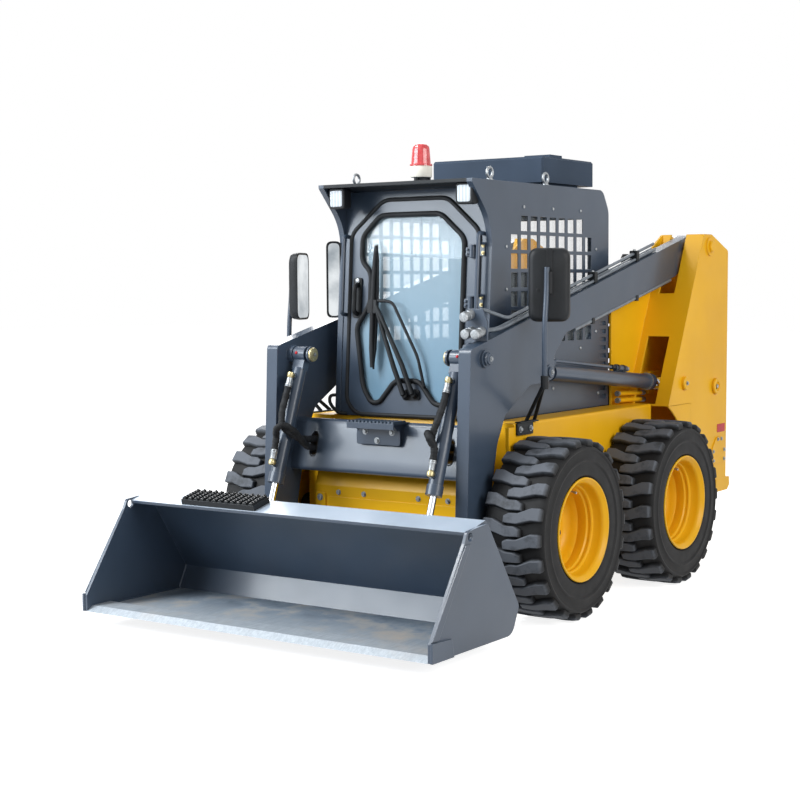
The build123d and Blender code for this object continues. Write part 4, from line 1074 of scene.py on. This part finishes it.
def tilt_hoses():
    """Sleeved hoses from the slots in the cross beam to both ends of each tilt cylinder."""
    for side, s in SIDES:
        barrel = f"tilt_barrel_{side}"

        def beside(d, offset, x=TILT_X):
            return on_line(TILT_TOP, TILT_EYE, s * x, d, offset)

        upper = [beside(172, HOSE_OUT), beside(240, 60, 447), at(s * 440, -492, 925), at(s * 424, -507, 866),
                 at(s * 396, -474, 824), at(s * 388, -410, 800), at(s * 389, -340, 792),
                 at(s * HOSE_SLOT_X, -266, 786)]
        lower = [beside(496, HOSE_OUT), beside(432, 64, 447), at(s * 434, -542, 852), at(s * 408, -522, 872),
                 at(s * 385, -470, 838), at(s * 382, -398, 774), at(s * 388, -330, 750),
                 at(s * HOSE_SLOT_X, -266, 743)]
        for name, path in (("upper", upper), ("lower", lower)):
            bm = bmesh.new()
            line = tube_points(path, 14)
            radii = [0.016 + 0.0013 * sin(i * 2.1) + 0.0008 * sin(i * 0.7) for i in range(len(line))]
            sweep(bm, line, radii, 16)
            hose = piece(f"tilt_hose_{name}_{side}", bm, SLEEVE, None, smooth=70)
            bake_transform(hose)
        ports, elbows, ferrules = meshes(3)
        for d, way in ((UPPER_PORT, 1), (LOWER_PORT, -1)):
            along = beside(d + way * 50, HOSE_OUT) - beside(d, HOSE_OUT)
            bar(ports, beside(d, 28), beside(d, 40), 0.018, 18)
            bar(elbows, beside(d, 40), beside(d, 58), 0.0125, 6)
            body = [(0, 9), (3, 15), (14, 17), (24, 15), (30, 10)]
            lathe(elbows, body, beside(d - way * 14, HOSE_OUT), along, 20)
            ferrule = [(0, 10), (4, 14), (30, 14.5), (34, 17), (46, 17), (50, 15)]
            lathe(ferrules, ferrule, beside(d + way * 12, HOSE_OUT), along, 20)
        piece(f"tilt_ports_{side}", ports, SLATE, barrel)
        piece(f"tilt_elbows_{side}", elbows, YELLOW_ZINC, barrel, node=f"tilt_hoses_{side}")
        piece(f"tilt_ferrules_{side}", ferrules, ZINC, barrel)


def lift_fittings():
    """Nuts on each lift cylinder's feed pipe and a wiper ring at its mouth."""
    for side, s in SIDES:
        def above(d, lift):
            return on_line(LIFT_FRONT, LIFT_REAR, s * LIFT_X, d, -lift)

        nuts, ends = meshes(2)
        bar(nuts, above(700, 57), above(736, 57), 0.0135, 6)
        for d in (760, 826):
            bar(nuts, above(d, 36), above(d, 56), 0.017, 16)
            bar(nuts, above(d - 9, 56), above(d + 9, 56), 0.0185, 16)
        piece(f"lift_feed_nuts_{side}", nuts, DARK, f"lift_barrel_{side}", smooth=40)
        bar(ends, above(862, 55), above(884, 55), 0.013, 6)
        lathe(ends, [(0, 45.5), (6, 46), (8, 42)], above(1100, 0), above(1150, 0) - above(1100, 0), 32)
        piece(f"lift_end_fittings_{side}", ends, ZINC, f"lift_barrel_{side}")


# Bucket

def weld(bm, a, b, radius=5.0):
    """Rippled fillet weld between two points in millimetres."""
    a, b = at(*a), at(*b)
    count = max(6, int((b - a).length / 0.012))
    line = [a.lerp(b, i / count) for i in range(count + 1)]
    sweep(bm, line, [(radius + 0.8 * (i % 2)) / 1000 for i in range(count + 1)], 8)


def bucket_welds():
    bm = bmesh.new()
    for s in (1, -1):
        x = s * (BUCKET_HALF - 15)
        weld(bm, (x, -872, 546), (x, -638, 184))
        weld(bm, (x, -641, 182), (x, -694, 80))
        weld(bm, (x, -694, 78), (x, -1150, 78))
    piece("bucket_welds", bm, SLATE, "bucket", smooth=70)


def lip_teeth():
    """Punched teeth along the ridges of the tread on the lip."""
    pitch = (TREAD_X[1] - TREAD_X[0]) / TREAD_RIDGES
    bm = bmesh.new()
    for k in range(TREAD_RIDGES):
        x = TREAD_X[0] + pitch * (k + 0.5)
        for j in range(6):
            d = 16 + 18 * j + (6 if k % 2 else 0)
            foot = on_line(*LIP_LINE, x, d, -TREAD_TOP)
            out = foot - on_line(*LIP_LINE, x, d)
            lathe(bm, [(0, 5.5), (4, 4.5), (5, 3)], foot, out, 8)
    piece("lip_teeth", bm, DARK, "bucket", smooth=40)


# Chassis trim

def apron_bolts():
    bolts, covers = meshes(2)
    for x in (-308, -158, 157, 322):
        bolt(bolts, at(x, APRON_Y - 1, 530), (0, -1, 0), 16, 9)
    bolt(bolts, at(-416, APRON_Y - 7, 500), (0, -1, 0), 20, 10)
    piece("apron_bolts", bolts, ZINC, "chassis")
    prism(covers, panel(-372, 400, 372, 508, 12), at, APRON_Y - 5, APRON_Y)
    prism(covers, panel(-444, 440, -384, 524, 8), at, APRON_Y - 7, APRON_Y)
    piece("apron_cover", covers, GOLD, "chassis", bevel=0.0015)


def tower_arches():
    """Plates that close the towers' outer sides down to the arch over each rear tyre."""
    plates, beads = meshes(2)
    arc = []
    for k in range(25):
        y = 1322 + 268 * k / 24
        arc.append((y, AXLE_Z + (REAR_ARCH_R ** 2 - (y - WHEELBASE) ** 2) ** 0.5))
    outline = arc + [(1592, 492), (1592, 880), (1320, 880)]
    for s in (1, -1):
        prism(plates, outline, side_view(s), TOWER_OUT_X - 12, TOWER_OUT_X)
        sweep(beads, [at(s * (TOWER_OUT_X - 6), y, z) for y, z in arc], 0.007, 10)
    piece("tower_arches", plates, GOLD, "chassis", smooth=40)
    piece("arch_beads", beads, GOLD, "chassis", smooth=60)


def tower_trim():
    bosses, bolts, reflectors = meshes(3)
    cover = rounded([(1862, 520), (2040, 520), (2040, 610), (1996, 668), (1926, 668), (1862, 600)], 18)
    keeper = rounded([(1808, 1690), (1842, 1690), (1848, 1756), (1802, 1756)], 12)
    cup = [(0, 44), (10, 44), (14, 40), (14, 26), (6, 24), (6, 0.1)]
    pivot_cap = [(0, 30), (14, 30), (18, 26), (18, 0.1)]
    for s in (1, -1):
        out = (s, 0, 0)
        prism(bosses, cover, side_view(s), TOWER_OUT_X, TOWER_OUT_X + 6)
        lathe(bosses, cup, at(s * (TOWER_OUT_X + 4), *TOWER_BOSS), out, 36)
        lathe(bosses, [(0, 36), (14, 36), (18, 32), (18, 0.1)], at(s * TOWER_OUT_X, *LIFT_REAR), out, 36)
        lathe(bosses, pivot_cap, at(s * (TOWER_OUT_X + 4), *BOOM_PIVOT), out, 36)
        prism(bosses, keeper, side_view(s), TOWER_OUT_X + 8, TOWER_OUT_X + 15)
        for y, z in ((1880, 538), (2022, 538), (2024, 590), (1878, 590), (1940, 654), (1984, 654)):
            bolt(bolts, at(s * (TOWER_OUT_X + 6), y, z), out, 13, 7)
        bolt(bolts, at(s * (TOWER_OUT_X + 18), *LIFT_REAR), out, 14, 8)
        bolt(bolts, at(s * (TOWER_OUT_X + 10), *TOWER_BOSS), out, 20, 8)
        prism(reflectors, panel(1938, 692, 2042, 738, 4), side_view(s), TOWER_OUT_X, TOWER_OUT_X + 2)
        prism(reflectors, panel(s * 520, 1380, s * 640, 1440, 10), at, 2062, 2078)
    piece("tower_bosses", bosses, GOLD, "chassis", smooth=40)
    piece("tower_bolts", bolts, ZINC, "chassis")
    piece("reflectors", reflectors, RED, "chassis", bevel=0.001)


def drive_pipes():
    """Two golden pipes with plated nuts between the cab and the tower."""
    pipes, nuts = meshes(2)
    for x in (DRIVE_PIPE_X, -DRIVE_PIPE_X):
        for z in (914, 950):
            bar(pipes, at(x, 1140, z), at(x, 1420, z - 10), 0.012, 16)
            bar(nuts, at(x, 1404, z - 9.5), at(x, 1446, z - 11), 0.0145, 6)
            bar(nuts, at(x, 1132, z), at(x, 1150, z), 0.0155, 6)
    piece("drive_pipes", pipes, GOLD, "chassis", smooth=60)
    piece("drive_pipe_nuts", nuts, ZINC, "chassis")


def cab_screws():
    """Cap screws round the guarded side windows and along the cab's skirt."""
    bm = bmesh.new()
    spots = [(100, 1300), (100, 1500), (100, 1700), (260, 1890), (540, 1890), (820, 1890), (985, 1700),
             (985, 1480), (985, 1280), (260, 1200), (820, 1200), (540, 1010), (1010, 960)]
    for s in (1, -1):
        for y, z in spots:
            lathe(bm, [(0, 8), (3, 8), (5, 6), (5.5, 3)], at(s * CAB_HALF_W, y, z), (s, 0, 0), 14)
    piece("cab_screws", bm, ZINC, "chassis")


# Stage, light and camera

def seen(tree):
    """1 for what the eye meets directly, in a reflection or through glass, and 0 for light on the object."""
    path = add(tree, "LightPath")
    rays = path.outputs["Is Camera Ray"]
    for kind in ("Is Glossy Ray", "Is Transmission Ray"):
        rays = add(tree, "Math", {"operation": "MAXIMUM"}, {0: rays, 1: path.outputs[kind]})
    return rays


def stage():
    """Matt floor that keeps the shadow, lifted to white for the eye."""
    bm = bmesh.new()
    reach = 40
    corners = [(-reach, -reach), (reach, -reach), (reach, reach), (-reach, reach)]
    bm.faces.new([bm.verts.new((x, y, -0.001)) for x, y in corners])
    floor = mesh_object("studio_floor", bm)
    material = bpy.data.materials.new("white_studio_floor")
    tree = empty_tree(material)
    lift = add(tree, "Math", {"operation": "MULTIPLY", 1: 0.84}, {0: seen(tree)})
    matt = add(tree, "BsdfDiffuse", {"Color": (0.55, 0.55, 0.55, 1)})
    glow = add(tree, "Emission", {"Color": (1, 1, 1, 1)}, {"Strength": lift})
    both = add(tree, "AddShader", links={0: matt, 1: glow})
    add(tree, "OutputMaterial", links={"Surface": both})
    floor.data.materials.append(material)


def world():
    """White sky for the eye, and a softer one for the light on the object."""
    scene_world = bpy.data.worlds.new("studio_sky")
    bpy.context.scene.world = scene_world
    tree = empty_tree(scene_world)
    white = add(tree, "Background", {"Color": (1, 1, 1, 1), "Strength": 1.0})
    soft = add(tree, "Background", {"Color": (0.96, 0.98, 1.0, 1), "Strength": 0.36})
    mix = add(tree, "MixShader", links={0: seen(tree), 1: soft, 2: white})
    add(tree, "OutputWorld", links={"Surface": mix})


def lamp(name, place, target, size, watts, colour=(1, 1, 1)):
    data = bpy.data.lights.new(name, "AREA")
    data.shape = "RECTANGLE"
    data.size, data.size_y = size
    data.energy = watts
    data.color = colour
    obj = new_object(name, data)
    obj.location = place
    obj.rotation_mode = "QUATERNION"
    obj.rotation_quaternion = (Vector(target) - Vector(place)).to_track_quat("-Z", "Y")


def lights():
    middle = (0, 0, 0.9)
    lamp("front_softbox", (-4.8, -6.7, 4.0), middle, (5.4, 2.6), 600, (0.87, 0.94, 1.0))
    lamp("high_softbox", (-3.4, -4.6, 6.8), middle, (2.4, 2.0), 480, (0.97, 0.985, 1.0))
    lamp("side_softbox", (6.5, -1.2, 3.4), middle, (4.0, 3.0), 270, (1.0, 0.985, 0.96))
    lamp("rear_softbox", (-4.4, 4.6, 4.4), (0, -0.8, 0.6), (5.0, 3.0), 270)


def camera():
    data = bpy.data.cameras.new("photo_camera")
    data.sensor_width = 36
    data.lens = CAMERA_LENS
    data.shift_x, data.shift_y = CAMERA_SHIFT
    obj = new_object("photo_camera", data)
    az, pitch, roll = (radians(v) for v in (CAMERA_AZIMUTH, CAMERA_PITCH, CAMERA_ROLL))
    ahead = Vector((-sin(az) * cos(pitch), cos(az) * cos(pitch), -sin(pitch)))
    level = Vector((cos(az), sin(az), 0))
    down = ahead.cross(level)
    right = level * cos(roll) + down * sin(roll)
    below = down * cos(roll) - level * sin(roll)
    turn = Matrix((right, -below, -ahead)).transposed().to_4x4()
    obj.matrix_world = Matrix.Translation(at(*CAMERA_AT)) @ turn
    bpy.context.scene.camera = obj


camera()
stage()
world()
lights()
bpy.context.scene.view_settings.view_transform = "Standard"
finish_cad()
paint_visor_shade()
scour_bucket()
wheels()
door_seals()
wiper()
door_handle()
door_hinges()
work_lamps()
beacon()
eye_bolts()
mirrors()
corner_grip()
padded_seat()
aux_couplers()
arm_pipes()
under_arm_pipes()
pin_heads()
cross_beam()
boom_step()
tilt_hoses()
lift_fittings()
bucket_welds()
lip_teeth()
apron_bolts()
tower_arches()
tower_trim()
drive_pipes()
cab_screws()
